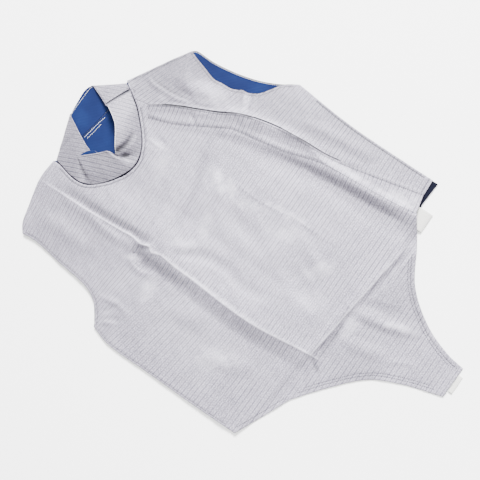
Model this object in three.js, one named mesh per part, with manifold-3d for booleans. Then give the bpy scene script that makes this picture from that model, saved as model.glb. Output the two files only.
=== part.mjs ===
// A foil fencer's sleeveless lame, laid face up on a flat surface. Millimetres.
// X points to the wearer's left, Y to the collar, Z up, and the surface is z = 0.
// The back lies flat, its blue lining on it, and the front lies on the lining with its long creases.
// Past the back's hem the front, with its groin flap, drops to the surface.
import * as THREE from "three";
import { mergeVertices } from "three/addons/utils/BufferGeometryUtils.js";
import Module from "manifold-3d";

const wasm = await Module();
wasm.setup();

// Driving dimensions
const BACK_WALL = 1.2;
const LINING_WALL = 1.0;
const FRONT_WALL = 1.4;
const COLLAR_WALL = 1.3;
const FLAP_WALL = 1.3;
const ELASTIC_WALL = 1.4;
const GAP = 0.3;
const NECK_CLEARANCE = 1.4; // between the neckline's cut edge and the collar's middle layer
const LINING_INSET = 0.8; // the lining stops this far inside the back's edge
const STEP_RUN = 12; // how far the front takes to drop from the back's hem to the surface
// How far the front stands off the lining over the chest, and how it comes down to the hem, neck and sides
const LOFT = { rise: 1.5, hemRun: 90, top: 240, topRun: 90, side: 250, sideRun: 80 };
const ZIP_TAPE = { half: 12, clear: 2, wall: 0.6, rise: 0.9, fade: 10, top: 270, topRun: 20 };
const ZIP_CHAIN_HALF = 2.6;

// The grid that the front's lie is worked out on, past the garment on every side
const GRID_END = { x: 264, top: 366, foot: -386 };
// Its columns' distances from the lines that they follow, and the cells between each two fixed columns
const SIDE_COLUMN = 12;
const FOLD_COLUMNS = [-24, -10, -4, 0, 8, 28];
const SEAM_COLUMNS = [-28, -14, -4];
const FREE_COLUMNS = [13, 24, 30];
const COLUMN_CELLS = [1, 1, 6, 1, 1, 1, 1, 1, 7, 1, 1, 2, 1, 1, 1, 1, 1];
// Its rows' distances from the back's hem, the even rows past them, and where the rows follow the hem
const HEM_ROWS = [-30, -STEP_RUN - 4, -STEP_RUN, -STEP_RUN / 2, 0, 10, 24];
const ROWS_BELOW = { start: -40, pitch: 22 };
const ROWS_ABOVE = { start: 42, pitch: 20 };
const HEM_FOLLOW = { foot: -330, top: -20, run: 100 };
// The upright plate that cuts a piece out of the front's lie
const CUT = { low: -5, height: 60 };

const LINING_LIE = BACK_WALL + GAP;
const FRONT_LIE = LINING_LIE + LINING_WALL + GAP;
const COLLAR_LIE = COLLAR_WALL + GAP / 2;

// Edges of the garment, each a short table of points that a smooth curve passes through
const SHOULDER_LEFT = [
  { x: 210, y: 256 },
  { x: 169, y: 285 },
  { x: 140, y: 304 },
  { x: 111, y: 323 },
];
const SHOULDER_RIGHT = [
  { x: -67, y: 350 },
  { x: -105, y: 352 },
  { x: -144, y: 343 },
  { x: -183, y: 330 },
  { x: -195, y: 320 },
];
const FRONT_ARMHOLE_RIGHT = [
  { x: -195, y: 320 },
  { x: -192, y: 293 },
  { x: -197, y: 235 },
  { x: -202, y: 172 },
  { x: -213, y: 148 },
  { x: -229, y: 132 },
  { x: -245, y: 123 },
];
const SIDE_RIGHT = [
  { x: -245, y: 123 },
  { x: -253, y: 88 },
  { x: -250, y: 4 },
  { x: -247, y: -73 },
  { x: -242, y: -157 },
];
const FRONT_HEM_RIGHT = [
  { x: -242, y: -157 },
  { x: -211, y: -171 },
  { x: -154, y: -196 },
];
const GROIN_RIGHT = [
  { x: -154, y: -196 },
  { x: -108, y: -231 },
  { x: -63, y: -273 },
  { x: -42, y: -313 },
  { x: -22, y: -371 },
];
const GROIN_LEFT = [
  { x: 27, y: -372 },
  { x: 32, y: -343 },
  { x: 50, y: -299 },
  { x: 87, y: -253 },
  { x: 140, y: -221 },
  { x: 187, y: -194 },
];
const FRONT_HEM_LEFT = [
  { x: 187, y: -194 },
  { x: 233, y: -187 },
];
const SIDE_LEFT = [
  { x: 233, y: -187 },
  { x: 235, y: -128 },
  { x: 240, y: -34 },
  { x: 253.5, y: 70 },
];
const FRONT_ARMHOLE_LEFT = [
  { x: 253.5, y: 70 },
  { x: 239, y: 94 },
  { x: 213, y: 115 },
  { x: 203, y: 134 },
  { x: 190, y: 178 },
  { x: 198, y: 222 },
  { x: 210, y: 256 },
];
const BACK_ARMHOLE_LEFT = [
  { x: 253.5, y: 70 },
  { x: 240, y: 94 },
  { x: 227, y: 126 },
  { x: 218, y: 164 },
  { x: 213, y: 212 },
  { x: 214, y: 250 },
  { x: 210, y: 256 },
];
const BACK_ARMHOLE_RIGHT = [
  { x: -195, y: 320 },
  { x: -187, y: 290 },
  { x: -187, y: 220 },
  { x: -197, y: 180 },
  { x: -213, y: 150 },
  { x: -245, y: 123 },
];
const BACK_HEM = [
  { x: -242, y: -157 },
  { x: -120, y: -172 },
  { x: 0, y: -186 },
  { x: 120, y: -203 },
  { x: 188, y: -204 },
  { x: 233, y: -196 },
];

// The zip flap on the left front: its stitched edge, its free edge, from the neck to the hem
const FLAP = [
  { seamX: 78, seamY: 252, freeX: 97, freeY: 265 },
  { seamX: 92, seamY: 207, freeX: 115, freeY: 232 },
  { seamX: 119, seamY: 150, freeX: 148, freeY: 152 },
  { seamX: 134, seamY: 119, freeX: 162, freeY: 124 },
  { seamX: 142, seamY: 72, freeX: 175, freeY: 72 },
  { seamX: 150, seamY: 22, freeX: 179, freeY: 20 },
  { seamX: 163, seamY: -32, freeX: 181, freeY: -34 },
  { seamX: 167, seamY: -100, freeX: 191, freeY: -98 },
  { seamX: 170, seamY: -160, freeX: 203, freeY: -158 },
  { seamX: 175, seamY: -200, freeX: 210, freeY: -191 },
];
// The parting of the left front from the main front: half is the space on each side of the line
const PARTING = [
  { x: 93, y: 290, half: 0.2 },
  { x: 97, y: 264, half: 0.2 },
  { x: 98, y: 250, half: 3.2 },
  { x: 100, y: 238, half: 3.2 },
  { x: 110, y: 196, half: 3.2 },
  { x: 134, y: 140, half: 3.2 },
  { x: 151, y: 104, half: 3.2 },
  { x: 159, y: 68, half: 3.2 },
  { x: 165, y: 22, half: 3.2 },
  { x: 172, y: -33, half: 3.2 },
  { x: 179, y: -99, half: 3.2 },
  { x: 187, y: -160, half: 3.2 },
  { x: 193, y: -204, half: 3.2 },
];

// Creases of the front: a path of rows with the rise there, and how far the slope runs on each side
const CREASES = {
  chestFold: {
    sharp: true,
    right: 10,
    left: 28,
    path: [
      { x: -106, y: 340, rise: 1 },
      { x: -101, y: 249, rise: 4 },
      { x: -95, y: 173, rise: 5 },
      { x: -95, y: 120, rise: 6 },
      { x: -91, y: 71, rise: 7 },
      { x: -95, y: -6, rise: 7 },
      { x: -95, y: -80, rise: 7 },
      { x: -86, y: -145, rise: 6 },
      { x: -82, y: -184, rise: 4 },
      { x: -80, y: -204, rise: 0 },
    ],
  },
  flapRidge: {
    sharp: true,
    right: 26,
    left: 13,
    path: [
      { x: 132, y: 178, rise: 0 },
      { x: 160, y: 128, rise: 4 },
      { x: 170, y: 85, rise: 5 },
      { x: 178, y: 34, rise: 5 },
      { x: 178, y: -1, rise: 5 },
      { x: 169, y: -37, rise: 5 },
      { x: 167, y: -73, rise: 5 },
      { x: 167, y: -129, rise: 6 },
      { x: 174, y: -202, rise: 4 },
    ],
  },
  hemRidge: {
    sharp: false,
    right: 9,
    left: 14,
    path: [
      { x: 140, y: -214, rise: 0 },
      { x: 105, y: -207, rise: 2 },
      { x: 46, y: -197, rise: 2 },
      { x: 7, y: -189, rise: 2 },
      { x: -34, y: -185, rise: 2 },
      { x: -82, y: -181, rise: 1.5 },
      { x: -110, y: -178, rise: 0 },
    ],
  },
  chestTrough: {
    sharp: false,
    right: 20,
    left: 20,
    path: [
      { x: 108, y: 142, rise: 0 },
      { x: 79, y: 135, rise: -1.2 },
      { x: 4, y: 117, rise: -1.5 },
      { x: -40, y: 109, rise: -1.2 },
      { x: -72, y: 98, rise: 0 },
    ],
  },
  shoulderCrease: {
    sharp: false,
    right: 12,
    left: 14,
    path: [
      { x: 138, y: 303, rise: 0.5 },
      { x: 134, y: 270, rise: 3 },
      { x: 141, y: 211, rise: 0 },
    ],
  },
  groinCrease: {
    sharp: false,
    right: 12,
    left: 18,
    path: [
      { x: 7, y: -200, rise: 1 },
      { x: 10, y: -228, rise: 3 },
      { x: 22, y: -270, rise: 3 },
      { x: 38, y: -305, rise: 0 },
    ],
  },
};

// The collar band, station by station: the seam point (x, y, z), the top edge's point (topX, topY, topZ)
// and how far the band bulges out between them. The front leaf leans in over the neck opening. It runs from
// the band's upper end on the wearer's left, past a dent at the middle, to the fold at the wearer's right.
const COLLAR_FRONT = [
  { x: 100, y: 307, z: 7.9, topX: 59, topY: 321, topZ: 20, bulge: 1 },
  { x: 84, y: 281, z: 7.1, topX: 50, topY: 301, topZ: 25, bulge: 2 },
  { x: 66, y: 261, z: 5.2, topX: 38, topY: 282, topZ: 29, bulge: 3 },
  { x: 50, y: 245, z: 5, topX: 22, topY: 269, topZ: 30, bulge: 3 },
  { x: 33, y: 232, z: 5, topX: 9, topY: 260, topZ: 28, bulge: 2 },
  { x: 10, y: 223.5, z: 5, topX: -1, topY: 260, topZ: 18, bulge: -1 },
  { x: -10, y: 226.5, z: 5, topX: -7, topY: 272, topZ: 22, bulge: 2 },
  { x: -30, y: 237, z: 5, topX: -16, topY: 285, topZ: 20, bulge: 2 },
  { x: -52, y: 255, z: 5, topX: -23, topY: 295, topZ: 17, bulge: 1 },
  { x: -67, y: 275, z: 5, topX: -24, topY: 302, topZ: 15, bulge: -3 },
  { x: -71, y: 293, z: 5, topX: -18, topY: 308, topZ: 16, bulge: 2 },
  { x: -70, y: 310, z: 5, topX: -11, topY: 320, topZ: 15, bulge: 3 },
  { x: -67, y: 326, z: 5, topX: -4, topY: 335, topZ: 12, bulge: 2 },
  { x: -65, y: 337, z: 5, topX: 3, topY: 352, topZ: 9, bulge: 1 },
  { x: -64, y: 343.5, z: 4.8, topX: 9, topY: 367, topZ: 5.2, bulge: 0 },
];
// The back leaf lies flat on the surface, behind the back's neck edge, between the two folds.
const COLLAR_BACK = [
  { x: -63, y: 346, z: 3.2, topX: 12, topY: 374, topZ: 3.3, bulge: 0 },
  { x: -60, y: 345.5, z: COLLAR_LIE, topX: 16, topY: 375, topZ: COLLAR_LIE, bulge: 0 },
  { x: -30, y: 338, z: COLLAR_LIE, topX: 30, topY: 377, topZ: COLLAR_LIE, bulge: 0 },
  { x: 2, y: 331, z: COLLAR_LIE, topX: 42, topY: 378, topZ: COLLAR_LIE, bulge: 0 },
  { x: 45, y: 323, z: COLLAR_LIE, topX: 54, topY: 379, topZ: COLLAR_LIE, bulge: 0 },
  { x: 80, y: 321, z: COLLAR_LIE, topX: 62, topY: 378, topZ: COLLAR_LIE, bulge: 0 },
  { x: 103, y: 322, z: COLLAR_LIE, topX: 69, topY: 375, topZ: COLLAR_LIE, bulge: 0 },
];
// Past the left fold the band's lower end lies under its upper end.
const COLLAR_UNDER = [
  { x: 106.5, y: 321, z: 3.1, topX: 72, topY: 369, topZ: 3.3, bulge: 0 },
  { x: 105, y: 316, z: 4.5, topX: 70, topY: 361, topZ: 5.4, bulge: 0 },
  { x: 99, y: 305, z: 4.3, topX: 62, topY: 338, topZ: 9, bulge: 1 },
  { x: 92, y: 294, z: 4, topX: 56, topY: 322, topZ: 13, bulge: 1 },
];
const COLLAR = [...COLLAR_FRONT, ...COLLAR_BACK, ...COLLAR_UNDER];
const COLLAR_STEPS = 3; // sections between two stations
const COLLAR_ROWS = 3; // rows of cells between the seam and the top edge

// White elastics: the strap that comes out under the front's hem at the left hip and lies over the back's
// hem down to the surface, row by row, and the loop sewn to the end of the groin flap
const HIP_STRAP = {
  right: 158,
  left: 189,
  rise: 1.7,
  fade: 14,
  clear: 2,
  rows: [
    { y: -216, z: 0 },
    { y: -212, z: 0 },
    { y: -208.5, z: 1.4 },
    { y: -205, z: FRONT_LIE },
    { y: -186, z: FRONT_LIE },
  ],
};
const GROIN_LOOP = { right: -12, left: 16, start: -372.4, end: -379 };

// The zip's slider, hidden under the flap but for the tip of its flat tab
const SLIDER = { x: 99.7, y: 239, width: 5.2, length: 10, height: 3.1, turn: 0.18 };
const SLIDER_TAB = { width: 4, length: 12, wall: 1.2 };
const ZIP_TOP = 247;
const CHAIN_TOP = 233;
const ZIP_FOOT = -186;
// The flap stands off the front over the slider and along the upper part of its free edge.
const FLAP_LIFT = {
  sharp: false,
  right: 30,
  left: 30,
  path: [
    { x: 100, y: 250, rise: 2.2 },
    { x: 107, y: 240, rise: 2.4 },
    { x: 118, y: 214, rise: 1.6 },
    { x: 131, y: 182, rise: 1 },
    { x: 146, y: 150, rise: 0 },
  ],
};

const smooth = (t) => {
  const c = Math.min(1, Math.max(0, t));
  return c * c * (3 - 2 * c);
};

// A smooth curve through a table's points, as Vector2s, with steps between each two of them.
function curve(rows, steps = 4) {
  const points = rows.map((r) => new THREE.Vector3(r.x, r.y, 0));
  const line = new THREE.CatmullRomCurve3(points, false, "centripetal");
  const count = (rows.length - 1) * steps;
  return line.getPoints(count).map((p) => new THREE.Vector2(p.x, p.y));
}

// Curves end to end as one outline, with the shared end points kept once.
function joined(...curves) {
  const points = [];
  for (const p of curves.flat()) {
    const last = points[points.length - 1];
    if (!last || last.distanceTo(p) > 0.01) points.push(p);
  }
  if (points[0].distanceTo(points[points.length - 1]) < 0.01) points.pop();
  return points;
}

// A line moved sideways by the distance that `away` gives at each point, to the left of its direction.
function offset(line, away, closed = false) {
  const last = line.length - 1;
  return line.map((p, i) => {
    const before = line[i > 0 ? i - 1 : closed ? last : 0];
    const after = line[i < last ? i + 1 : closed ? 0 : last];
    const along = after.clone().sub(before).normalize();
    const d = typeof away === "number" ? away : away(i);
    return new THREE.Vector2(p.x - along.y * d, p.y + along.x * d);
  });
}

// The value of a column at one y, on straight lines between rows that run down in y.
function columnAt(rows, y, column) {
  if (y >= rows[0].y) return rows[0][column];
  for (let i = 1; i < rows.length; i += 1) {
    const [a, b] = [rows[i - 1], rows[i]];
    if (y >= b.y) return THREE.MathUtils.mapLinear(y, b.y, a.y, b[column], a[column]);
  }
  return rows[rows.length - 1][column];
}

// The y of the back's hem at one x.
function hemAt(x) {
  for (let i = 1; i < BACK_HEM.length; i += 1) {
    const [a, b] = [BACK_HEM[i - 1], BACK_HEM[i]];
    const last = i === BACK_HEM.length - 1;
    if (x <= b.x || last) return THREE.MathUtils.mapLinear(x, a.x, b.x, a.y, b.y);
  }
  return BACK_HEM[0].y;
}

// What one crease adds at a point: its rise, falling off to each side of the path.
function creaseAt(crease, x, y) {
  let best = { distance: Infinity };
  for (let i = 1; i < crease.path.length; i += 1) {
    const [a, b] = [crease.path[i - 1], crease.path[i]];
    const [dx, dy] = [b.x - a.x, b.y - a.y];
    const share = ((x - a.x) * dx + (y - a.y) * dy) / (dx * dx + dy * dy);
    const t = Math.min(1, Math.max(0, share));
    const distance = Math.hypot(x - a.x - t * dx, y - a.y - t * dy);
    if (distance < best.distance) {
      const side = dx * (y - a.y) - dy * (x - a.x) > 0 ? crease.left : crease.right;
      best = { distance, side, rise: a.rise + t * (b.rise - a.rise) };
    }
  }
  const out = Math.min(1, best.distance / best.side);
  return best.rise * (crease.sharp ? (1 - out) ** 1.5 : (1 + Math.cos(Math.PI * out)) / 2);
}

// The height that the zip's tape adds under the front.
function zipRise(x, y) {
  const past = Math.abs(x - columnAt(PARTING, y, "x")) - ZIP_TAPE.half - ZIP_TAPE.clear;
  const along = smooth((ZIP_TAPE.top - y) / ZIP_TAPE.topRun);
  return ZIP_TAPE.rise * along * smooth(1 - past / ZIP_TAPE.fade);
}

// The height that the hip strap adds under the front.
function strapRise(x, y) {
  const across = Math.max(HIP_STRAP.right - x, x - HIP_STRAP.left, 0);
  const past = Math.max(y - HIP_STRAP.rows[HIP_STRAP.rows.length - 1].y, 0);
  return HIP_STRAP.rise * smooth(1 - (Math.hypot(across, past) - HIP_STRAP.clear) / HIP_STRAP.fade);
}

// How far the front stands off the lining at a point.
function loftAt(x, y) {
  const hem = smooth((y - hemAt(x)) / LOFT.hemRun);
  const top = smooth((LOFT.top - y) / LOFT.topRun);
  const side = smooth((LOFT.side - Math.abs(x)) / LOFT.sideRun);
  return LOFT.rise * hem * top * side;
}

// The height of the front's underside.
function underFront(x, y) {
  const step = smooth((y - hemAt(x) + STEP_RUN) / STEP_RUN);
  const lie = FRONT_LIE * step + zipRise(x, y) * step + strapRise(x, y);
  const creased = Object.values(CREASES).reduce((sum, c) => sum + creaseAt(c, x, y), 0);
  return Math.max(lie, lie + loftAt(x, y) + creased);
}

// The grid's columns at one y: x positions that follow the side edges, the long creases and the flap.
function columnsAt(y) {
  const right = columnAt(SIDE_RIGHT, y, "x");
  const left = columnAt([...SIDE_LEFT].reverse(), y, "x");
  const fold = columnAt(CREASES.chestFold.path, y, "x");
  const rows = FLAP.map((r) => ({ y: (r.seamY + r.freeY) / 2, seam: r.seamX, free: r.freeX }));
  const seam = columnAt(rows, y, "seam");
  const free = columnAt(rows, y, "free");
  const [near, middle, far] = FREE_COLUMNS.map((d) => free + d);
  const fixed = [
    -GRID_END.x,
    right,
    right + SIDE_COLUMN,
    ...FOLD_COLUMNS.map((d) => fold + d),
    ...SEAM_COLUMNS.map((d) => seam + d),
    (seam + free) / 2,
    free,
    near,
    Math.max(middle, left - SIDE_COLUMN),
    Math.max(far, left),
    GRID_END.x,
  ];
  const between = (i, share) => THREE.MathUtils.lerp(fixed[i], fixed[i + 1], share);
  const cells = COLUMN_CELLS.flatMap((count, i) =>
    Array.from({ length: count }, (_, k) => between(i, k / count)),
  );
  return [...cells, GRID_END.x];
}

// The grid's rows: y values at the middle, close together along the back's hem.
function gridRows() {
  const hem = hemAt(0);
  const rows = [];
  for (let y = GRID_END.foot; y < hem + ROWS_BELOW.start; y += ROWS_BELOW.pitch) rows.push(y);
  rows.push(...HEM_ROWS.map((d) => hem + d));
  for (let y = hem + ROWS_ABOVE.start; y < GRID_END.top; y += ROWS_ABOVE.pitch) rows.push(y);
  return [...rows, GRID_END.top];
}

// The grid of the front's lie: points [x, y] by row and column, with the underside's height.
function frontGrid() {
  return gridRows().map((row) => {
    const rising = smooth((row - HEM_FOLLOW.foot) / HEM_FOLLOW.run);
    const follow = rising * smooth((HEM_FOLLOW.top - row) / HEM_FOLLOW.run);
    return columnsAt(row).map((x) => {
      const y = row + follow * (hemAt(x) - hemAt(0));
      return { x, y, z: underFront(x, y) };
    });
  });
}

// A closed solid from a geometry, as manifold-3d takes it.
function solidOf(geometry) {
  const plain = geometry.clone();
  plain.deleteAttribute("normal");
  plain.deleteAttribute("uv");
  const merged = mergeVertices(plain, 1e-4);
  return new wasm.Manifold(
    new wasm.Mesh({
      numProp: 3,
      vertProperties: merged.attributes.position.array,
      triVerts: new Uint32Array(merged.index.array),
    }),
  );
}

// A geometry from a solid.
function geometryOf(solid) {
  const mesh = solid.getMesh();
  const geometry = new THREE.BufferGeometry();
  geometry.setAttribute("position", new THREE.BufferAttribute(mesh.vertProperties, 3));
  geometry.setIndex(new THREE.BufferAttribute(mesh.triVerts, 1));
  geometry.computeVertexNormals();
  return geometry;
}

// A closed wall between two sheets of points with the same rows and columns: low first, then high.
// Seen from the high side the columns run to the right and the rows up.
function wallGeometry(low, high) {
  const [rows, columns] = [low.length, low[0].length];
  const positions = [low, high].flat(2).flatMap((p) => [p.x, p.y, p.z]);
  const at = (side, r, c) => side * rows * columns + r * columns + c;
  const faces = [];
  const quad = (a, b, c, d) => faces.push(a, b, c, a, c, d);
  for (let r = 0; r < rows - 1; r += 1)
    for (let c = 0; c < columns - 1; c += 1) {
      quad(at(1, r, c), at(1, r, c + 1), at(1, r + 1, c + 1), at(1, r + 1, c));
      quad(at(0, r, c), at(0, r + 1, c), at(0, r + 1, c + 1), at(0, r, c + 1));
    }
  for (let c = 0; c < columns - 1; c += 1) {
    quad(at(0, 0, c), at(0, 0, c + 1), at(1, 0, c + 1), at(1, 0, c));
    quad(at(0, rows - 1, c + 1), at(0, rows - 1, c), at(1, rows - 1, c), at(1, rows - 1, c + 1));
  }
  for (let r = 0; r < rows - 1; r += 1) {
    quad(at(0, r + 1, 0), at(0, r, 0), at(1, r, 0), at(1, r + 1, 0));
    const end = columns - 1;
    quad(at(0, r, end), at(0, r + 1, end), at(1, r + 1, end), at(1, r, end));
  }
  const geometry = new THREE.BufferGeometry();
  geometry.setAttribute("position", new THREE.BufferAttribute(new Float32Array(positions), 3));
  geometry.setIndex(faces);
  return geometry;
}

// A flat plate with the given outline.
function plate(points, low, wall) {
  const shape = new THREE.Shape(points);
  const geometry = new THREE.ExtrudeGeometry(shape, { depth: wall, bevelEnabled: false });
  return geometry.translate(0, 0, low);
}

// The stretch of the front's lie inside an outline, from `low` up to `low + wall` off the underside, with
// what `lift` adds at a point.
function frontPiece(grid, points, low, wall, lift = () => 0) {
  const raised = (p, by) => ({ x: p.x, y: p.y, z: p.z + by + lift(p.x, p.y) });
  const moved = (by) => grid.map((row) => row.map((p) => raised(p, by)));
  const sheet = solidOf(wallGeometry(moved(low), moved(low + wall)));
  return sheet.intersect(solidOf(plate(points, CUT.low, CUT.height)));
}

// The collar's middle layer: sections from station to station, each with points from seam to top edge.
function collarSections() {
  const line = (x, y, z) => {
    const points = COLLAR.map((s) => new THREE.Vector3(s[x], s[y], s[z]));
    return new THREE.CatmullRomCurve3(points, false, "centripetal");
  };
  const [seam, top] = [line("x", "y", "z"), line("topX", "topY", "topZ")];
  const count = (COLLAR.length - 1) * COLLAR_STEPS;
  return Array.from({ length: count + 1 }, (_, i) => {
    const t = i / count;
    const [from, to] = [seam.getPoint(t), top.getPoint(t)];
    const station = Math.min(COLLAR.length - 2, Math.floor(i / COLLAR_STEPS));
    const share = i / COLLAR_STEPS - station;
    const bulge = THREE.MathUtils.lerp(COLLAR[station].bulge, COLLAR[station + 1].bulge, share);
    return Array.from({ length: COLLAR_ROWS + 1 }, (_unused, k) => {
      const v = k / COLLAR_ROWS;
      const p = from.clone().lerp(to, v);
      p.z = Math.max(COLLAR_LIE, p.z + bulge * 4 * v * (1 - v));
      return p;
    });
  });
}

// A layer of the collar from `near` to `far` off the middle layer, outwards of the band.
function collarLayer(sections, near, far) {
  const last = sections.length - 1;
  const normals = sections.map((section, i) =>
    section.map((_, k) => {
      const along = sections[Math.min(last, i + 1)][k].clone().sub(sections[Math.max(0, i - 1)][k]);
      const up = section[Math.min(COLLAR_ROWS, k + 1)].clone().sub(section[Math.max(0, k - 1)]);
      return up.cross(along).normalize();
    }),
  );
  const moved = (by) =>
    sections.map((section, i) => section.map((p, k) => p.clone().addScaledVector(normals[i][k], by)));
  return wallGeometry(moved(near), moved(far));
}

// The front's neckline: the collar's seam moved out so that the band clears the cut edge.
function neckline() {
  return offset(curve(COLLAR_FRONT.slice(0, -1), 3), NECK_CLEARANCE);
}

// The whole front's outline, from the left shoulder's neck end round the neck and down the right side.
function frontOutline() {
  return joined(
    curve(SHOULDER_LEFT),
    neckline(),
    curve(SHOULDER_RIGHT),
    curve(FRONT_ARMHOLE_RIGHT),
    curve(SIDE_RIGHT),
    curve(FRONT_HEM_RIGHT),
    curve(GROIN_RIGHT),
    curve(GROIN_LEFT),
    curve(FRONT_HEM_LEFT),
    curve(SIDE_LEFT),
    curve(FRONT_ARMHOLE_LEFT),
  );
}

// The back's outline; its neck edge keeps clear of the collar's back leaf.
function backOutline() {
  return joined(
    curve(SHOULDER_LEFT),
    offset(curve([...COLLAR_BACK].reverse(), 2), 2 * GAP),
    curve(SHOULDER_RIGHT),
    curve(BACK_ARMHOLE_RIGHT),
    curve(SIDE_RIGHT),
    curve(BACK_HEM),
    curve(SIDE_LEFT),
    curve(BACK_ARMHOLE_LEFT),
  );
}

// One edge of the parting, from the neck down; side is -1 on the main front and 1 on the left front.
function partingEdge(side) {
  const half = (i) => PARTING[Math.round(i / 3)].half;
  return offset(curve(PARTING, 3), (i) => side * half(i));
}

// The part of the plane on one side of the parting.
function partingSide(side) {
  const out = side * GRID_END.x * 2;
  const edge = partingEdge(side);
  const [first, last] = [edge[0], edge[edge.length - 1]];
  const corner = (x, y) => new THREE.Vector2(x, y);
  const low = [corner(last.x, -GRID_END.x * 2), corner(out, -GRID_END.x * 2)];
  return [...edge, ...low, corner(out, GRID_END.x * 2), corner(first.x, GRID_END.x * 2)];
}

// The flap's outline: down its stitched edge and back up its free edge.
function flapOutline() {
  const seam = curve(FLAP.map((r) => ({ x: r.seamX, y: r.seamY })));
  const free = curve(FLAP.map((r) => ({ x: r.freeX, y: r.freeY })));
  return [...seam, ...free.reverse()];
}

// A strip along the parting from y = top to y = foot, half as wide on each side.
function zipStrip(half, top, foot) {
  const line = curve(PARTING, 6).filter((p) => p.y <= top && p.y >= foot);
  return [...offset(line, -half), ...offset(line, half).reverse()];
}

// The zip under the flap: its tape and, between the fronts, its chain.
function zip(grid) {
  const { half, wall } = ZIP_TAPE;
  const tape = frontPiece(grid, zipStrip(half, ZIP_TOP, ZIP_FOOT), -GAP - wall, wall);
  const strip = zipStrip(ZIP_CHAIN_HALF, CHAIN_TOP, ZIP_FOOT);
  const chain = frontPiece(grid, strip, -GAP - wall / 2, FRONT_WALL + GAP + wall / 2);
  return tape.add(chain);
}

// The slider's body and its flat tab, in one piece at the place where they lie.
function slider() {
  const lie = underFront(SLIDER.x, SLIDER.y);
  const body = new THREE.BoxGeometry(SLIDER.width, SLIDER.length, SLIDER.height);
  body.translate(0, 0, SLIDER.height / 2);
  const tab = new THREE.BoxGeometry(SLIDER_TAB.length, SLIDER_TAB.width, SLIDER_TAB.wall);
  tab.translate(SLIDER_TAB.length / 2, 0, FRONT_WALL + GAP + SLIDER_TAB.wall / 2);
  const whole = geometryOf(solidOf(body).add(solidOf(tab)));
  return whole.rotateZ(SLIDER.turn).translate(SLIDER.x, SLIDER.y, lie);
}

// The strap at the left hip, a wall through its rows.
function hipStrap() {
  const row = (r, by) => [HIP_STRAP.right, HIP_STRAP.left].map((x) => ({ x, y: r.y, z: r.z + by }));
  const low = HIP_STRAP.rows.map((r) => row(r, 0));
  const high = HIP_STRAP.rows.map((r) => row(r, ELASTIC_WALL));
  return wallGeometry(low, high);
}

// The loop at the end of the groin flap.
function groinLoop() {
  const { right, left, start, end } = GROIN_LOOP;
  const corners = [[right, end], [left, end], [left, start], [right, start]];
  return plate(corners.map(([x, y]) => new THREE.Vector2(x, y)), 0, ELASTIC_WALL);
}

const finish = (name, colour, roughness, metalness) =>
  new THREE.MeshStandardMaterial({ name, color: colour, roughness, metalness });
const silverCloth = finish("conductive silver cloth", "#cbc9d1", 0.55, 0.35);
const blueLining = finish("blue polyester lining", "#2f5597", 0.85, 0);
const whiteElastic = finish("white elastic webbing", "#eeeeec", 0.9, 0);
const zipTape = finish("grey zip tape", "#9a9aa2", 0.8, 0);
const darkMetal = finish("dark zip slider", "#3a3c42", 0.4, 0.8);

const lame = new THREE.Group();
function add(name, geometry, material) {
  const mesh = new THREE.Mesh(geometry, material);
  mesh.name = name;
  lame.add(mesh);
}

const grid = frontGrid();
const sections = collarSections();
const front = frontPiece(grid, frontOutline(), 0, FRONT_WALL);
const sideOf = (side) => solidOf(plate(partingSide(side), -GRID_END.x, 2 * GRID_END.x));
const lift = (x, y) => creaseAt(FLAP_LIFT, x, y);
const flap = frontPiece(grid, flapOutline(), FRONT_WALL + GAP, FLAP_WALL, lift);
const liningOutline = offset(backOutline(), LINING_INSET, true);

add("back_panel", plate(backOutline(), 0, BACK_WALL), silverCloth);
add("back_lining", plate(liningOutline, LINING_LIE, LINING_WALL), blueLining);
add("front_main", geometryOf(front.intersect(sideOf(-1))), silverCloth);
add("front_left", geometryOf(front.intersect(sideOf(1))), silverCloth);
add("zip", geometryOf(zip(grid)), zipTape);
add("zip_slider", slider(), darkMetal);
add("zip_flap", geometryOf(flap), silverCloth);
add("collar_band", collarLayer(sections, GAP / 2, GAP / 2 + COLLAR_WALL), silverCloth);
add("collar_lining", collarLayer(sections, -GAP / 2 - LINING_WALL, -GAP / 2), blueLining);
add("hip_elastic", hipStrap(), whiteElastic);
add("groin_elastic", groinLoop(), whiteElastic);

export default lame;
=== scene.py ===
"""A sleeveless fencing lame laid face up on a pale floor: cloth shells, seams, stitches and finishes.

Lengths are in millimetres until a mesh is made. X points to the wearer's left, Y to the collar, Z up.
"""

import logging
import math
from collections.abc import Callable, Sequence
from dataclasses import dataclass, field
from enum import Enum

import bmesh
import bpy
import numpy as np
from mathutils import Matrix, Vector
from mathutils.geometry import delaunay_2d_cdt
from mathutils.kdtree import KDTree

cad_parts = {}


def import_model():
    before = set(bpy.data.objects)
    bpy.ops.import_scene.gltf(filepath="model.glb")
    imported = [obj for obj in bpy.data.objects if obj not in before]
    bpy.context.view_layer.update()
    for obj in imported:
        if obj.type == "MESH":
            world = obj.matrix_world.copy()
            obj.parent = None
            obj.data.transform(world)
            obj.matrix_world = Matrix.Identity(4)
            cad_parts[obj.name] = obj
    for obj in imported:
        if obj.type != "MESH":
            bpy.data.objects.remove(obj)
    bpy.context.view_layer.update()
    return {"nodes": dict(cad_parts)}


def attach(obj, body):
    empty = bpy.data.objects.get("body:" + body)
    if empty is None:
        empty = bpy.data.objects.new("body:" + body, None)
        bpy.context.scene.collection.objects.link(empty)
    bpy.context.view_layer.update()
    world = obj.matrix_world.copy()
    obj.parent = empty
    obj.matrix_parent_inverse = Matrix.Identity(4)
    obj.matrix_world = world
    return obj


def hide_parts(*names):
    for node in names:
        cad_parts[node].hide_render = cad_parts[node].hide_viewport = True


LOG = logging.getLogger("lame")
MM = 0.001
CLOTH_UV = "cloth"
# The vertex attribute that carries painted highlight and painted shade, with the rubbed patches of the
# silver.
LIGHT_AND_WEAR_ATTRIBUTE = "wear_and_painted_light"
BODY = "root"

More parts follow.
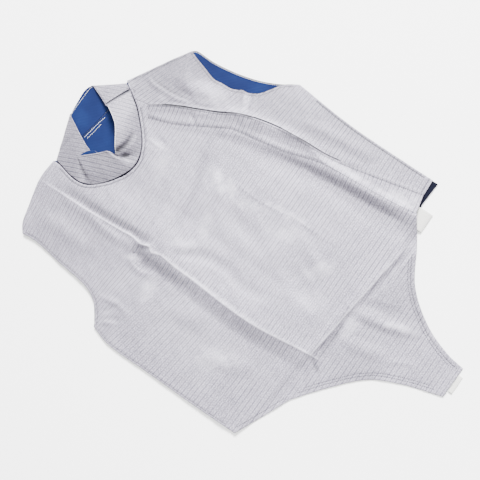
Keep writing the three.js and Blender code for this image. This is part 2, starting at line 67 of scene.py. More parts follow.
Rows = Sequence[tuple[float, ...]]
Height = Callable[[np.ndarray, np.ndarray], np.ndarray]
Tree = bpy.types.NodeTree
Socket = bpy.types.NodeSocket

# Walls of the solids that the shells lie on
BACK_WALL = 1.2
LINING_WALL = 1.0
FRONT_WALL = 1.4
COLLAR_WALL = 1.3
FLAP_WALL = 1.3
GAP = 0.3
LINING_LIE = BACK_WALL + GAP
FRONT_LIE = LINING_LIE + LINING_WALL + GAP
COLLAR_LIE = COLLAR_WALL + GAP / 2
STEP_RUN = 12.0
LOFT = 1.5
OFF_FLOOR = 0.02

# Edges of the garment, (x, y) points that a smooth curve passes through
SHOULDER_LEFT = ((210, 256), (169, 285), (140, 304), (111, 323))
SHOULDER_RIGHT = ((-67, 350), (-105, 352), (-144, 343), (-183, 330), (-195, 320))
FRONT_ARMHOLE_RIGHT = (
    (-195, 320), (-192, 293), (-197, 235), (-202, 172), (-213, 148), (-229, 132), (-245, 123),
)
SIDE_RIGHT = ((-245, 123), (-253, 88), (-250, 4), (-247, -73), (-242, -157))
FRONT_HEM_RIGHT = ((-242, -157), (-211, -171), (-154, -196))
GROIN_RIGHT = ((-154, -196), (-108, -231), (-63, -273), (-42, -313), (-22, -371))
GROIN_LEFT = ((27, -372), (32, -343), (50, -299), (87, -253), (140, -221), (187, -189.6))
FRONT_HEM_LEFT = ((187, -189.6), (233, -187))
SIDE_LEFT = ((233, -187), (235, -128), (240, -34), (253.5, 70))
FRONT_ARMHOLE_LEFT = (
    (253.5, 70), (239, 93), (222, 106), (209, 116), (202, 127), (199, 136), (199, 144), (194, 152),
    (191, 163), (191, 178), (190, 195), (197, 218), (206, 246), (210, 256),
)
BACK_ARMHOLE_LEFT = (
    (253.5, 70), (240, 94), (227, 126), (218, 164), (213, 212), (214, 250), (210, 256),
)
BACK_ARMHOLE_RIGHT = ((-195, 320), (-187, 290), (-187, 220), (-197, 180), (-213, 150), (-245, 123))
BACK_HEM = (
    (-242, -157), (-120, -172), (0, -186), (120, -201), (172, -201), (190, -194.5), (210, -194.8),
    (233, -196),
)

# The zip flap, row by row: its stitched edge (x, y) and its free edge (x, y), from the neck to the hem
FLAP = (
    (78, 252, 97, 265), (92, 207, 115, 232), (119, 150, 148, 152), (134, 119, 162, 124),
    (142, 72, 175, 72), (150, 22, 179, 20), (163, -32, 181, -34), (167, -100, 191, -98),
    (170, -160, 203, -158), (174.6, -195.5, 209.5, -187.5),
)
# The parting of the two fronts under the flap: (x, y, half the space between them)
PARTING = (
    (93, 290, 0.2), (97, 264, 0.2), (98, 250, 3.2), (100, 238, 3.2), (110, 196, 3.2), (134, 140, 3.2),
    (151, 104, 3.2), (159, 68, 3.2), (165, 22, 3.2), (172, -33, 3.2), (179, -99, 3.2), (187, -160, 3.2),
    (193, -204, 3.2),
)


def smooth(t: np.ndarray) -> np.ndarray:
    """A soft step from 0 at t = 0 to 1 at t = 1."""
    c = np.clip(t, 0.0, 1.0)
    return c * c * (3.0 - 2.0 * c)


def spline(rows: Rows, steps: int) -> np.ndarray:
    """A centripetal Catmull-Rom curve through a table's rows.

    Args:
        rows: Points of any number of columns.
        steps: Stretches between each two rows.

    Returns:
        The curve's points, one row each.
    """
    p = np.asarray(rows, float)
    p = np.vstack([2 * p[0] - p[1], p, 2 * p[-1] - p[-2]])
    gap = np.sqrt(np.linalg.norm(np.diff(p, axis=0), axis=1)).clip(1e-4)
    t = np.linspace(0.0, 1.0, steps + 1)[:-1, None]
    out = []
    for i in range(1, len(p) - 2):
        a, b, c, d = p[i - 1 : i + 3]
        ga, gb, gc = gap[i - 1 : i + 2]
        start = ((b - a) / ga - (c - a) / (ga + gb) + (c - b) / gb) * gb
        end = ((c - b) / gb - (d - b) / (gb + gc) + (d - c) / gc) * gb
        bend = t**2 * (3 * (c - b) - 2 * start - end)
        out.append(b + t * start + bend + t**3 * (2 * (b - c) + start + end))
    return np.vstack([*out, p[-2][None]])


def resample(points: np.ndarray, step: float) -> np.ndarray:
    """Points about one step apart along a line, its two ends kept."""
    length = np.concatenate([[0.0], np.cumsum(np.linalg.norm(np.diff(points, axis=0), axis=1))])
    count = max(1, round(length[-1] / step))
    at = np.linspace(0.0, length[-1], count + 1)
    return np.column_stack([np.interp(at, length, column) for column in points.T])


def offset(line: np.ndarray, away: float | np.ndarray, closed: bool = False) -> np.ndarray:
    """A plan line moved to the left of its direction by a distance, or by one distance for each point."""
    ahead = np.roll(line, -1, axis=0) - np.roll(line, 1, axis=0)
    if not closed:
        ahead[0], ahead[-1] = line[1] - line[0], line[-1] - line[-2]
    ahead /= np.linalg.norm(ahead, axis=1, keepdims=True).clip(1e-9)
    left = np.column_stack([-ahead[:, 1], ahead[:, 0]])
    return line + left * np.reshape(away, (-1, 1))


def loop_of(*lines: np.ndarray, step: float) -> np.ndarray:
    """Lines end to end as one closed outline, each resampled, with shared end points kept once."""
    points = np.vstack([resample(line, step) for line in lines])
    keep = np.linalg.norm(points - np.roll(points, 1, axis=0), axis=1) > step * 0.1
    return points[keep]


def inside(points: np.ndarray, outline: np.ndarray) -> np.ndarray:
    """Whether each plan point lies inside a closed outline."""
    x, y = points[:, 0], points[:, 1]
    found = np.zeros(len(points), bool)
    for (ax, ay), (bx, by) in zip(outline, np.roll(outline, -1, axis=0)):
        if ay != by:
            found ^= ((ay > y) != (by > y)) & (x < (bx - ax) * (y - ay) / (by - ay) + ax)
    return found


def by_row(rows: Rows, y: np.ndarray, column: int) -> np.ndarray:
    """One column of a table at each y, on straight lines between rows that run down in y."""
    table = np.asarray(rows, float)[::-1]
    return np.interp(y, table[:, 1], table[:, column])


def wander(x: np.ndarray, y: np.ndarray, length: float, seed: int) -> np.ndarray:
    """Soft unevenness from -1 to 1: sine waves about one length long, in directions fixed by the seed."""
    draw = np.random.default_rng(seed)
    total = np.zeros(np.shape(x))
    waves = 9
    for _ in range(waves):
        turn, phase = draw.uniform(0.0, math.tau, 2)
        k = math.tau / (length * draw.uniform(0.65, 1.6))
        total = total + np.sin(k * (np.cos(turn) * x + np.sin(turn) * y) + phase)
    return total / math.sqrt(waves) / 1.4


def search_tree(points: np.ndarray) -> KDTree:
    """A tree that finds the nearest of some plan points."""
    tree = KDTree(len(points))
    for i, (x, y) in enumerate(points):
        tree.insert((x, y, 0.0), i)
    tree.balance()
    return tree


class Track:
    """A line in plan that can be asked how far points lie from it."""

    def __init__(self, points: np.ndarray, closed: bool = False) -> None:
        """Samples the line each millimetre.

        Args:
            points: The line's plan points.
            closed: Whether its end joins its start.
        """
        line = np.vstack([points, points[:1]]) if closed else points
        self.points = resample(line[:, :2], 1.0)
        ahead = np.gradient(self.points, axis=0)
        self.ahead = ahead / np.linalg.norm(ahead, axis=1, keepdims=True).clip(1e-9)
        self.tree = search_tree(self.points)

    def near(self, x: np.ndarray, y: np.ndarray) -> tuple[np.ndarray, np.ndarray]:
        """Distances of points from the line and along it.

        Args:
            x: Plan x of the points.
            y: Plan y of the points.

        Returns:
            The distance from the line, and the distance along it of the nearest place.
        """
        found = np.array([self.tree.find((a, b, 0.0))[1] for a, b in zip(x, y)], int)
        away = np.column_stack([x, y]) - self.points[found]
        across = np.abs(away[:, 0] * self.ahead[found, 1] - away[:, 1] * self.ahead[found, 0])
        along = np.abs((away * self.ahead[found]).sum(axis=1))
        past = np.where(along > 0.75, along, 0.0)
        return np.hypot(across, past), found.astype(float)


class Form(Enum):
    """How a crease falls away from its line."""

    WAVE = "round at its top and its foot"
    CREST = "a narrow top with hollow slopes"
    BANK = "a wave to the left, and to the right a bank that is steep at its foot"


@dataclass(frozen=True)
class Crease:
    """A soft ridge or trough of cloth along a line.

    Attributes:
        line: Rows of (x, y, rise); a negative rise is a trough.
        left: Reach of the slope to the left of the line's direction.
        right: Reach of the slope to the right.
        form: How it falls away from the line.
        power: How hollow a crest's slopes or how steep a bank's foot is; 1 is straight.
    """

    line: Rows
    left: float
    right: float
    form: Form = Form.WAVE
    power: float = 1.5

    def at(self, x: np.ndarray, y: np.ndarray) -> np.ndarray:
        """The height that the crease adds at each point."""
        rows = spline(self.line, 3)
        reach = max(self.left, self.right)
        low, high = rows.min(axis=0) - reach, rows.max(axis=0) + reach
        near = (x > low[0]) & (x < high[0]) & (y > low[1]) & (y < high[1])
        px, py = x[near], y[near]
        best = np.full(px.shape, np.inf)
        value = np.zeros(px.shape)
        for (ax, ay, a_rise), (bx, by, b_rise) in zip(rows[:-1], rows[1:]):
            dx, dy = bx - ax, by - ay
            t = np.clip(((px - ax) * dx + (py - ay) * dy) / (dx * dx + dy * dy), 0.0, 1.0)
            distance = np.hypot(px - ax - t * dx, py - ay - t * dy)
            on_left = dx * (py - ay) - dy * (px - ax) > 0
            share = self._share(distance, on_left)
            value = np.where(distance < best, share * (a_rise + t * (b_rise - a_rise)), value)
            best = np.minimum(best, distance)
        total = np.zeros(x.shape)
        total[near] = value
        return total

    def _share(self, distance: np.ndarray, on_left: np.ndarray) -> np.ndarray:
        """The share of the rise at a distance from the line, 1 on it and 0 at the slope's reach."""
        reach = np.where(on_left, self.left, self.right)
        out = np.clip(distance / reach, 0.0, 1.0)
        wave = (1.0 + np.cos(math.pi * out)) / 2.0
        if self.form is Form.BANK:
            return np.where(on_left, wave, 1.0 - out**self.power)
        if self.form is Form.WAVE:
            return wave
        crest = 0.9 / reach  # the crest is round over about a millimetre
        hollow = (np.sqrt(out**2 + crest**2) - crest) / (np.sqrt(1.0 + crest**2) - crest)
        return (1.0 - hollow) ** self.power


# The creases that the solids have too
MAIN_CREASES = {
    "upper chest fold": Crease(
        ((-106, 340, 0.8), (-103, 290, 1.6), (-101, 249, 2.1), (-98, 205, 2.3), (-95, 173, 2.4),
         (-93, 156, 2.6), (-94, 140, 2.6), (-93, 128, 2.0), (-90, 119, 1.0),
         (-90, 106, 0)), 3.0, 27, Form.CREST),
    "lower chest fold": Crease(
        ((-93, 156, 0), (-93, 143, 1.8), (-94, 132, 3.4), (-90, 121, 4.8), (-96, 112, 6.0), (-91, 97, 6.8),
         (-93, 71, 7), (-95, -6, 7), (-95, -80, 7), (-86, -145, 6), (-82, -184, 4), (-80, -204, 0)),
        74, 26, Form.CREST, 1.05),
    "flap ridge": Crease(
        ((132, 178, 0), (160, 128, 4), (170, 85, 5), (178, 34, 5), (178, -1, 5), (169, -37, 5),
         (167, -73, 5), (167, -129, 6), (174, -202, 4)), 13, 26, Form.CREST),
    "hem ridge": Crease(
        ((140, -214, 0), (105, -207, 2), (46, -197, 2), (7, -189, 2), (-34, -185, 2),
         (-82, -181, 1.5), (-110, -178, 0)), 14, 9),
    "chest trough": Crease(
        ((108, 142, 0), (79, 135, -1.2), (4, 117, -1.5), (-40, 109, -1.2), (-72, 98, 0)), 20, 20),
    "shoulder crease": Crease(((138, 303, 0.3), (134, 270, 1.8), (141, 211, 0)), 14, 12),
    "groin crease": Crease(((7, -200, 1), (10, -228, 3), (22, -270, 3), (38, -305, 0)), 18, 12),
}
# Finer creases, by the place where they lie
FINE_CREASES = {
    "bank beside the upper chest fold": Crease(
        ((-86, 334, 0), (-83, 300, 1.2), (-81, 249, 2.1), (-78, 205, 2.6), (-75, 173, 2.6), (-72, 150, 2.3),
         (-70, 130, 1.6), (-68, 108, 0.6), (-66, 92, 0)), 52, 20, Form.BANK, 2.4),
    "second fold beside it": Crease(
        ((-107, 300, 0), (-107, 286, 0.8), (-106, 239, 1.1), (-110, 193, 1.2), (-107, 156, 0.5),
         (-104, 140, 0)), 9, 15),
    "kink in the chest fold": Crease(((-99, 150, 0), (-97, 138, 1.4), (-90, 124, 1.2), (-84, 112, 0)), 6, 6),
    "pocket beside the kink": Crease(
        ((-100, 146, 0), (-113, 141, 0.7), (-124, 135, 1.0), (-130, 118, 1.0), (-127, 100, 0.6),
         (-123, 84, 0)), 5, 12),
    "line down the chest": Crease(
        ((70, 96, 0), (67, 70, 0.15), (65, 40, 0.2), (64, 13, 0.25), (68, -22, 0.3), (72, -48, 0.35),
         (71, -76, 0.3), (72, -113, 0.2), (74, -126, 0)), 12, 5, Form.CREST),
    "trough off the fold's kink": Crease(
        ((-84, 90, 0), (-67, 60, -0.9), (-56, 36, -1.3), (-51, -2, -1.1), (-58, -33, -0.9), (-56, -61, -1.0),
         (-50, -90, 0)), 16, 13),
    "swell at the fold's right": Crease(((-70, 95, 0), (-62, 74, 0.8), (-42, 50, 0.5), (-30, 20, 0)), 16, 12),
    "low hollow": Crease(((10, -60, 0), (0, -95, -0.8), (-14, -130, -0.9), (-30, -155, 0)), 20, 22),
    "low swell": Crease(((60, -70, 0), (44, -95, 0.9), (30, -126, 1.0), (18, -158, 0)), 18, 18),
    "mid hollow": Crease(((30, 60, 0), (18, 30, -0.8), (14, -10, -0.9), (4, -44, 0)), 20, 18),
    "upper swell": Crease(((78, 110, 0), (57, 93, 1.0), (40, 76, 0.9), (20, 64, 0)), 14, 16),
    "armpit ridge": Crease(((-238, 121, 0.3), (-231, 114, 0.9), (-224, 104, 0.8), (-216, 96, 0)), 5, 5),
    "armpit hollow": Crease(((-222, 108, -0.4), (-216, 100, -1.4), (-211, 93, 0)), 7, 7),
    "armpit arc": Crease(
        ((-205, 150, 0), (-199, 132, 0.8), (-195, 114, 1.0), (-197, 96, 0.5), (-205, 84, 0)), 9, 6),
    "armpit fan": Crease(((-222, 128, 0), (-212, 120, -0.7), (-200, 112, -0.6), (-186, 104, 0)), 6, 6),
    "narrow lines": Crease(
        ((-168, 82, 0), (-162, 80, -0.5), (-146, 80, -0.7), (-125, 79, -0.6), (-112, 79, 0)), 4, 4),
    "narrow lines below": Crease(
        ((-160, 73, 0), (-148, 72, -0.4), (-132, 71, -0.5), (-118, 70, 0)), 3.5, 3.5),
    "right chest swell": Crease(((-160, 60, 0), (-150, 20, 1.0), (-138, -20, 1.2), (-150, -60, 0)), 26, 24),
    "right low swell": Crease(((-180, -40, 0), (-172, -72, 0.9), (-160, -105, 0.8), (-150, -130, 0)), 20, 18),
    "left shoulder trough": Crease(
        ((142, 302, -0.6), (136, 275, -1.8), (135, 248, -2.0), (138, 218, -1.6), (143, 190, 0)), 16, 6),
    "left shoulder swell": Crease(((170, 262, 0), (160, 232, 1.2), (163, 196, 1.4), (172, 160, 0)), 20, 16),
    "armhole pucker 1": Crease(((199, 137, 0.5), (188, 133, 1.3), (176, 127, 0.8), (164, 124, 0)), 5, 5),
    "armhole pucker 2": Crease(((206, 123, 0.6), (196, 119, 1.4), (184, 115, 1.0), (172, 110, 0)), 5, 5),
    "armhole pucker 3": Crease(((196, 155, 0.3), (189, 154, 1.0), (176, 157, 0.6), (168, 160, 0)), 5, 5),
    "armhole hollow": Crease(((196, 145, -0.4), (186, 143, -1.2), (174, 141, -0.8), (165, 141, 0)), 4, 4),
    "neck crumple": Crease(((52, 233, 0), (50, 227, 0.7), (49, 211, 0.7), (48, 194, 0)), 5, 4),
    "neck crumple 2": Crease(((66, 236, 0), (62, 222, -0.6), (60, 206, -0.6), (58, 194, 0)), 5, 5),
    "step under the hem ridge, left": Crease(
        ((124, -219, 0), (104, -216, -0.9), (76, -212, -1.1), (48, -208, -0.8), (30, -206, 0)), 6, 8),
    "step under the hem ridge, right": Crease(
        ((6, -200, 0), (-7, -198, -0.9), (-34, -197, -1.1), (-58, -195, -1.0), (-74, -193, 0)), 6, 8),
    "crest of the hem ridge": Crease(
        ((136, -214, 0), (101, -209, 0.5), (54, -203, 0.6), (10, -197, 0.6), (-35, -192, 0.6),
         (-70, -187, 0.5), (-86, -184, 0)), 4, 8, Form.CREST),
    "swell below the hem ridge": Crease(
        ((168, -237, 0), (150, -232, 0.9), (125, -227, 1.1), (100, -222, 0.9), (80, -220, 0)), 6, 8),
    "swell under the flap's seam": Crease(
        ((112, 172, 0), (128, 128, 0.8), (141, 76, 1.4), (149, 24, 1.6), (159, -30, 1.5), (165, -90, 1.3),
         (167, -150, 1.1), (172, -200, 0.7)), 15, 17),
    "groin hollow": Crease(((26, -206, 0), (31, -220, -1.1), (36, -240, -1.2), (44, -262, 0)), 9, 12),
    "groin swell": Crease(((-40, -210, 0), (-34, -232, 0.9), (-26, -262, 0.9), (-16, -300, 0)), 16, 16),
    "corner fold": Crease(((-84, -186, 0.6), (-96, -192, 1.1), (-112, -200, 0.8), (-128, -206, 0)), 8, 5),
    "corner fold 2": Crease(
        ((-86, -190, -0.4), (-96, -200, -1.0), (-108, -213, -0.6), (-116, -222, 0)), 6, 6),
    "groin crumple": Crease(((-30, -280, 0), (-20, -292, 0.6), (-12, -306, 0.5), (-6, -322, 0)), 6, 6),
    "trough by the flap": Crease(
        ((126, 78, 0), (136, 50, -1.0), (143, -8, -1.5), (148, -60, -1.6), (150, -113, -1.8),
         (152, -166, -1.6), (152, -204, -0.6)), 12, 34),
    "left front swell": Crease(((205, 40, 0), (212, -10, 1.2), (214, -60, 1.2), (216, -110, 0)), 14, 14),
    "right shoulder swell": Crease(
        ((-160, 320, 0), (-150, 280, 1.2), (-152, 230, 1.0), (-150, 190, 0)), 22, 24),
}
FLAP_CREASES = {
    "pleat across": Crease(((123, 192, -0.9), (115, 181, -1.0), (107, 172, -0.8)), 7, 7),
    "dimple": Crease(((160, 128, 0), (152, 122, -0.7), (142, 118, 0)), 5, 5),
    "ripple": Crease(((176, 66, 0), (166, 62, 0.6), (150, 60, 0)), 6, 6),
    "ripple 2": Crease(((188, -120, 0), (182, -124, -0.6), (170, -126, 0)), 6, 6),
}
# Dips of the left front beside the flap's free edge
DIPS = (
    Crease(((103, 262, -0.5), (112, 244, -1.4), (121, 230, -1.8), (136, 196, -2.0), (150, 160, -1.2),
            (156, 146, 0)), 7, 3),
    Crease(((160, 136, 0), (164, 124, -1.3), (168, 108, -1.2), (174, 90, -1.3), (178, 66, -1.3),
            (182, 20, -1.3), (183, -20, -0.9), (186, -66, -0.5), (194, -100, -0.8), (204, -150, -0.8),
            (211, -186, -0.6)), 6, 3),
)
# The crest lines of the front, where a narrow lip catches the light: (x, y, strength)
CRESTS = (
    ((-106, 334, 0.1), (-103, 290, 0.3), (-101, 249, 0.45), (-98, 205, 0.5), (-95, 173, 0.6), (-93, 156, 0.8),
     (-94, 140, 0.8), (-94, 131, 0.8), (-90, 121, 0.8), (-96, 112, 0.8), (-91, 97, 0.7), (-93, 69, 0.7),
     (-93, 30, 0.7), (-95, -6, 0.7), (-96, -50, 0.8), (-95, -90, 0.9), (-90, -130, 0.9), (-84, -170, 0.9),
     (-81, -196, 0.5)),
    ((136, -211, 0), (101, -206, 0.6), (54, -200.4, 0.8), (10, -194.6, 0.9), (-35, -190, 1.0),
     (-70, -185.6, 0.9), (-90, -183, 0)),
)
# Where the flap's free edge stands off the front
FLAP_LIFTS = (
    Crease(((98, 262, 1.2), (106, 244, 1.9), (113, 235, 2.2), (125, 205, 2.4), (136, 176, 1.8),
            (145, 158, 0.3)), 14, 14),
    Crease(((157, 140, 0), (161, 127, 1.2), (163, 117, 1.0), (166, 108, 0)), 10, 10),
    Crease(((167, 101, 0), (171, 90, 1.0), (173, 80, 0)), 9, 9),
    Crease(((174, 68, 0), (177, 46, 1.4), (179, 24, 1.6), (181, 6, 1.2), (182, -10, 0)), 10, 10),
)
# Lighter places, rubbed silver in broad patches and painted highlight in the narrow ones along crests: (x, y,
# half length, half width, turn in degrees, strength)
RUBBED_AND_HIGHLIT = (
    (57, 93, 26, 12, 60, 0.8), (58, 66, 16, 10, 40, 0.8), (-59, 75, 24, 12, -70, 0.5),
    (-14, 66, 22, 10, 20, 0.5), (53, 22, 36, 10, -80, 0.5), (72, -34, 40, 7, -85, 0.6),
    (28, 186, 24, 16, 10, 0.4), (44, -49, 30, 16, -60, 0.4), (30, -124, 30, 12, -40, 0.6),
    (-13, -207, 26, 12, 10, 0.6), (165, 186, 44, 22, -80, 0.45), (181, 128, 24, 12, 10, 0.5),
    (176, 64, 40, 7, -85, 0.6), (176, -74, 44, 6, -88, 0.7), (184, -162, 30, 10, -80, 0.8),
    (19, 244, 20, 8, -10, 0.6), (-173, -69, 36, 20, -60, 0.5), (-146, 84, 22, 14, 0, 0.6),
    (-16, -137, 34, 16, -70, 0.3), (-112, 0, 60, 12, -88, 0.3), (-120, 136, 16, 6, -60, 0.8),
    (24, -268, 34, 6, -75, 0.8), (48, 214, 24, 8, -80, 0.5), (-92, 10, 120, 4, -90, 0.7),
)

# The shade along the flap's free edge: (x, y, strength)
FLAP_SHADE = tuple(
    (row[2], row[3], strength)
    for row, strength in zip(FLAP, (0.4, 1.0, 0.7, 0.9, 1.0, 0.9, 0.5, 0.35, 0.3, 0.2))
)
# Painted shade in lines along folds, troughs and the flap's free edge: rows of (x, y, strength), and how far
# each reaches
PAINTED_SHADE_LINES = (
    (FLAP_SHADE, 3.0),
    (((-94, 326, 0), (-90, 290, 0.24), (-89, 249, 0.36), (-87, 205, 0.42), (-84, 173, 0.42),
      (-82, 145, 0.36), (-80, 120, 0)), 10.0),
    (((-104, 148, 0), (-108, 128, 0.45), (-108, 96, 0.46), (-107, 40, 0.4), (-108, -30, 0.34),
      (-106, -90, 0.26), (-98, -150, 0.1), (-94, -180, 0)), 15.0),
    (((-103, 146, 0.2), (-112, 139, 0.5), (-121, 133, 0.6), (-126, 118, 0.5), (-123, 100, 0.2),
      (-119, 86, 0)), 2.6),
    (((139, 300, 0), (136, 275, 0.25), (136, 248, 0.25), (139, 218, 0.2), (143, 190, 0)), 4.0),
    (((146, 50, 0), (150, 10, 0.16), (152, -50, 0.18), (153, -110, 0.2), (156, -166, 0.2),
      (160, -200, 0.1)), 24.0),
    (((70, 92, 0), (67, 70, 0.3), (65, 40, 0.4), (64, 13, 0.6), (68, -22, 0.6), (72, -48, 0.6),
      (71, -76, 0.5), (72, -113, 0)), 1.8),
    (((8, -200, 0), (-7, -199, 0.4), (-27, -199, 0.5), (-51, -198, 0.5), (-75, -196, 0.3),
      (-84, -195, 0)), 5.0),
    (((117, 140, 0), (100, 137, 0.1), (70, 132, 0.2), (24, 114, 0.2), (-20, 107, 0.16), (-53, 112, 0)), 13.0),
    (((123, 196, 0.24), (115, 180, 0.28), (107, 166, 0.2)), 6.0),
    (((137, -240, 0.0), (124, -237, 0.3), (109, -234, 0.4), (89, -233, 0)), 3.5),
    (((-82, -190, 0.2), (-88, -195, 0.4), (-94, -203, 0.4), (-98, -210, 0)), 6.0),
)

# Broad painted shade, and painted light where the strength is below 0: (x, y, half length, half width, turn
# in degrees, strength)
PAINTED_LIGHT_AND_SHADE = (
    (160, 262, 80, 62, -60, 0.34), (214, 20, 190, 34, -88, 0.24), (140, 120, 60, 22, -68, 0.2),
    (-150, 270, 90, 50, -80, 0.12), (-60, -250, 60, 40, 40, 0.16), (60, -262, 70, 44, -40, 0.2),
    (-190, -120, 50, 40, 0, 0.14), (-110, -120, 50, 24, -80, 0.12), (30, 40, 190, 90, -85, -0.1),
    (-170, -60, 120, 60, -88, -0.14), (-165, 90, 60, 50, 0, -0.06),
)


class FrontLie:
    """The heights of the cloth that lies on the back: the front's underside and what lies on it.

    Attributes:
        chest_run: Over how far the chest swells from the hem up, and sinks again below the shoulders.
        chest_top: The y above which it doesn't swell.
        chest_half: How far from the middle line the swell ends.
        side_run: Over how far it sinks towards the sides.
        zip_half: Half the width of the zip's tape.
        zip_rise: How far the tape lifts the fronts.
        zip_fade: Over how far beside it that lift ends.
        strap: The hip strap's two edges in x, and its inner end in y.
        strap_rise: How far it lifts the fronts.
        strap_fade: Over how far round it that lift ends.
        fine_gain: How strong the fine creases are drawn.
        lip_reach: How wide the lips along the crests are.
        least_wall: The thinnest that the cloth may be above what it lies on.
        rounding: How softly it comes to lie on that.
        waves: Unevenness of the cloth: (height, length, seed) of each set of waves.
    """

    chest_run = 90.0
    chest_top = 240.0
    chest_half = 250.0
    side_run = 80.0
    zip_half = 12.0
    zip_rise = 0.9
    zip_fade = 10.0
    strap = (158.0, 189.0, -186.0)
    strap_rise = 1.7
    strap_fade = 14.0
    fine_gain = 1.7
    lip_reach = 3.2
    least_wall = 0.85
    rounding = 0.04
    waves = ((0.7, 78.0, 3), (0.3, 27.0, 5), (0.09, 10.0, 8))

    def bare(self, x: np.ndarray, y: np.ndarray) -> np.ndarray:
        """The height of what the fronts lie on: the lining or the floor, the zip and the hip strap."""
        step = smooth((y - self._hem(x) + STEP_RUN) / STEP_RUN)
        return FRONT_LIE * step + self._zip(x, y) * step + self._strap(x, y)

    def under(self, x: np.ndarray, y: np.ndarray) -> np.ndarray:
        """The height of the front's underside, as the solids have it."""
        chest = smooth((y - self._hem(x)) / self.chest_run) * smooth((self.chest_top - y) / self.chest_run)
        chest = chest * smooth((self.chest_half - np.abs(x)) / self.side_run)
        creased = sum(c.at(x, y) for c in MAIN_CREASES.values())
        return self.bare(x, y) + np.maximum(0.0, LOFT * chest + creased)

    def top(self, x: np.ndarray, y: np.ndarray) -> np.ndarray:
        """The height of the front's upper face, with its finer creases, never through what it lies on."""
        fine = self.fine_gain * sum(c.at(x, y) for c in FINE_CREASES.values())
        fine = fine + sum(Crease(rows, self.lip_reach, self.lip_reach).at(x, y) for rows in CRESTS)
        for height, length, seed in self.waves:
            fine = fine + height * wander(x, y, length, seed)
        free = self.under(x, y) + FRONT_WALL + fine
        least = self.bare(x, y) + self.least_wall
        over = free - least
        return least + (over + np.sqrt(over**2 + self.rounding)) / 2.0

    def _hem(self, x: np.ndarray) -> np.ndarray:
        """The y of the back's hem at each x."""
        return np.interp(x, *np.array(BACK_HEM, float).T)

    def _zip(self, x: np.ndarray, y: np.ndarray) -> np.ndarray:
        """The height that the zip's tape adds."""
        away = np.abs(x - by_row(PARTING, y, 0))
        past = (away - self.zip_half - 2.0) / self.zip_fade
        return self.zip_rise * smooth((270.0 - y) / 20.0) * smooth(1.0 - past)

    def _strap(self, x: np.ndarray, y: np.ndarray) -> np.ndarray:
        """The height that the hip strap adds."""
        right, left, end = self.strap
        across = np.maximum(np.maximum(right - x, x - left), 0.0)
        past = np.maximum(y - end, 0.0)
        return self.strap_rise * smooth(1.0 - (np.hypot(across, past) - 2.0) / self.strap_fade)


def linear(code: str) -> tuple[float, float, float, float]:
    """A linear colour from an sRGB hex value such as "#2f5597"."""
    parts = (int(code[i : i + 2], 16) / 255.0 for i in (1, 3, 5))
    red, green, blue = (c / 12.92 if c <= 0.04045 else ((c + 0.055) / 1.055) ** 2.4 for c in parts)
    return red, green, blue, 1.0


def add_node(tree: Tree, kind: str, inputs: dict | None = None, **settings: object) -> bpy.types.Node:
    """Adds a node with its settings and links.

    Args:
        tree: The tree that the node goes into.
        kind: The node's type name.
        inputs: Values or output sockets by input name or number.
        **settings: The node's own properties.

    Returns:
        The new node.
    """
    made = tree.nodes.new(kind)
    for name, value in settings.items():
        setattr(made, name, value)
    for name, value in (inputs or {}).items():
        if isinstance(value, Socket):
            tree.links.new(value, made.inputs[name])
        else:
            made.inputs[name].default_value = value
    return made


def blank_material(name: str) -> tuple[bpy.types.Material, Tree]:
    """A material with an empty node tree."""
    material = bpy.data.materials.new(name)
    material.use_nodes = True
    material.node_tree.nodes.clear()
    return material, material.node_tree


def ramp(tree: Tree, factor: Socket, stops: Sequence[tuple[float, str]]) -> Socket:
    """The colour of a ramp through (place, sRGB hex) stops."""
    made = add_node(tree, "ShaderNodeValToRGB", {0: factor})
    elements = made.color_ramp.elements
    for i, (place, code) in enumerate(stops):
        element = elements[i] if i < 2 else elements.new(place)
        element.position, element.color = place, linear(code)
    return made.outputs[0]


def maths(tree: Tree, operation: str, *values: object, **settings: object) -> Socket:
    """The result of a Math node on up to three values."""
    inputs = dict(enumerate(values))
    return add_node(tree, "ShaderNodeMath", inputs, operation=operation, **settings).outputs[0]


def noise(tree: Tree, place: Socket, scale: float, detail: float = 2.0, **more: float) -> Socket:
    """The value of a Noise texture."""
    inputs = {0: place, "Scale": scale, "Detail": detail, **more}
    return add_node(tree, "ShaderNodeTexNoise", inputs).outputs[0]


def object_place(tree: Tree) -> Socket:
    """The place on the object, in metres."""
    return add_node(tree, "ShaderNodeTexCoord").outputs["Object"]


def mixed(tree: Tree, factor: object, a: object, b: object) -> Socket:
    """Two colours mixed by a factor."""
    made = add_node(tree, "ShaderNodeMix", {0: factor, 6: a, 7: b}, data_type="RGBA")
    return made.outputs[2]


def finish_surface(tree: Tree, height: Socket, depth: float, inputs: dict) -> None:
    """Ends a material: a bump of some depth in millimetres, a Principled shader and the output."""
    bump = add_node(tree, "ShaderNodeBump", {"Height": height, "Distance": depth * MM, "Strength": 1.0})
    shader = add_node(tree, "ShaderNodeBsdfPrincipled", {**inputs, "Normal": bump.outputs[0]})
    add_node(tree, "ShaderNodeOutputMaterial", {0: shader.outputs[0]})


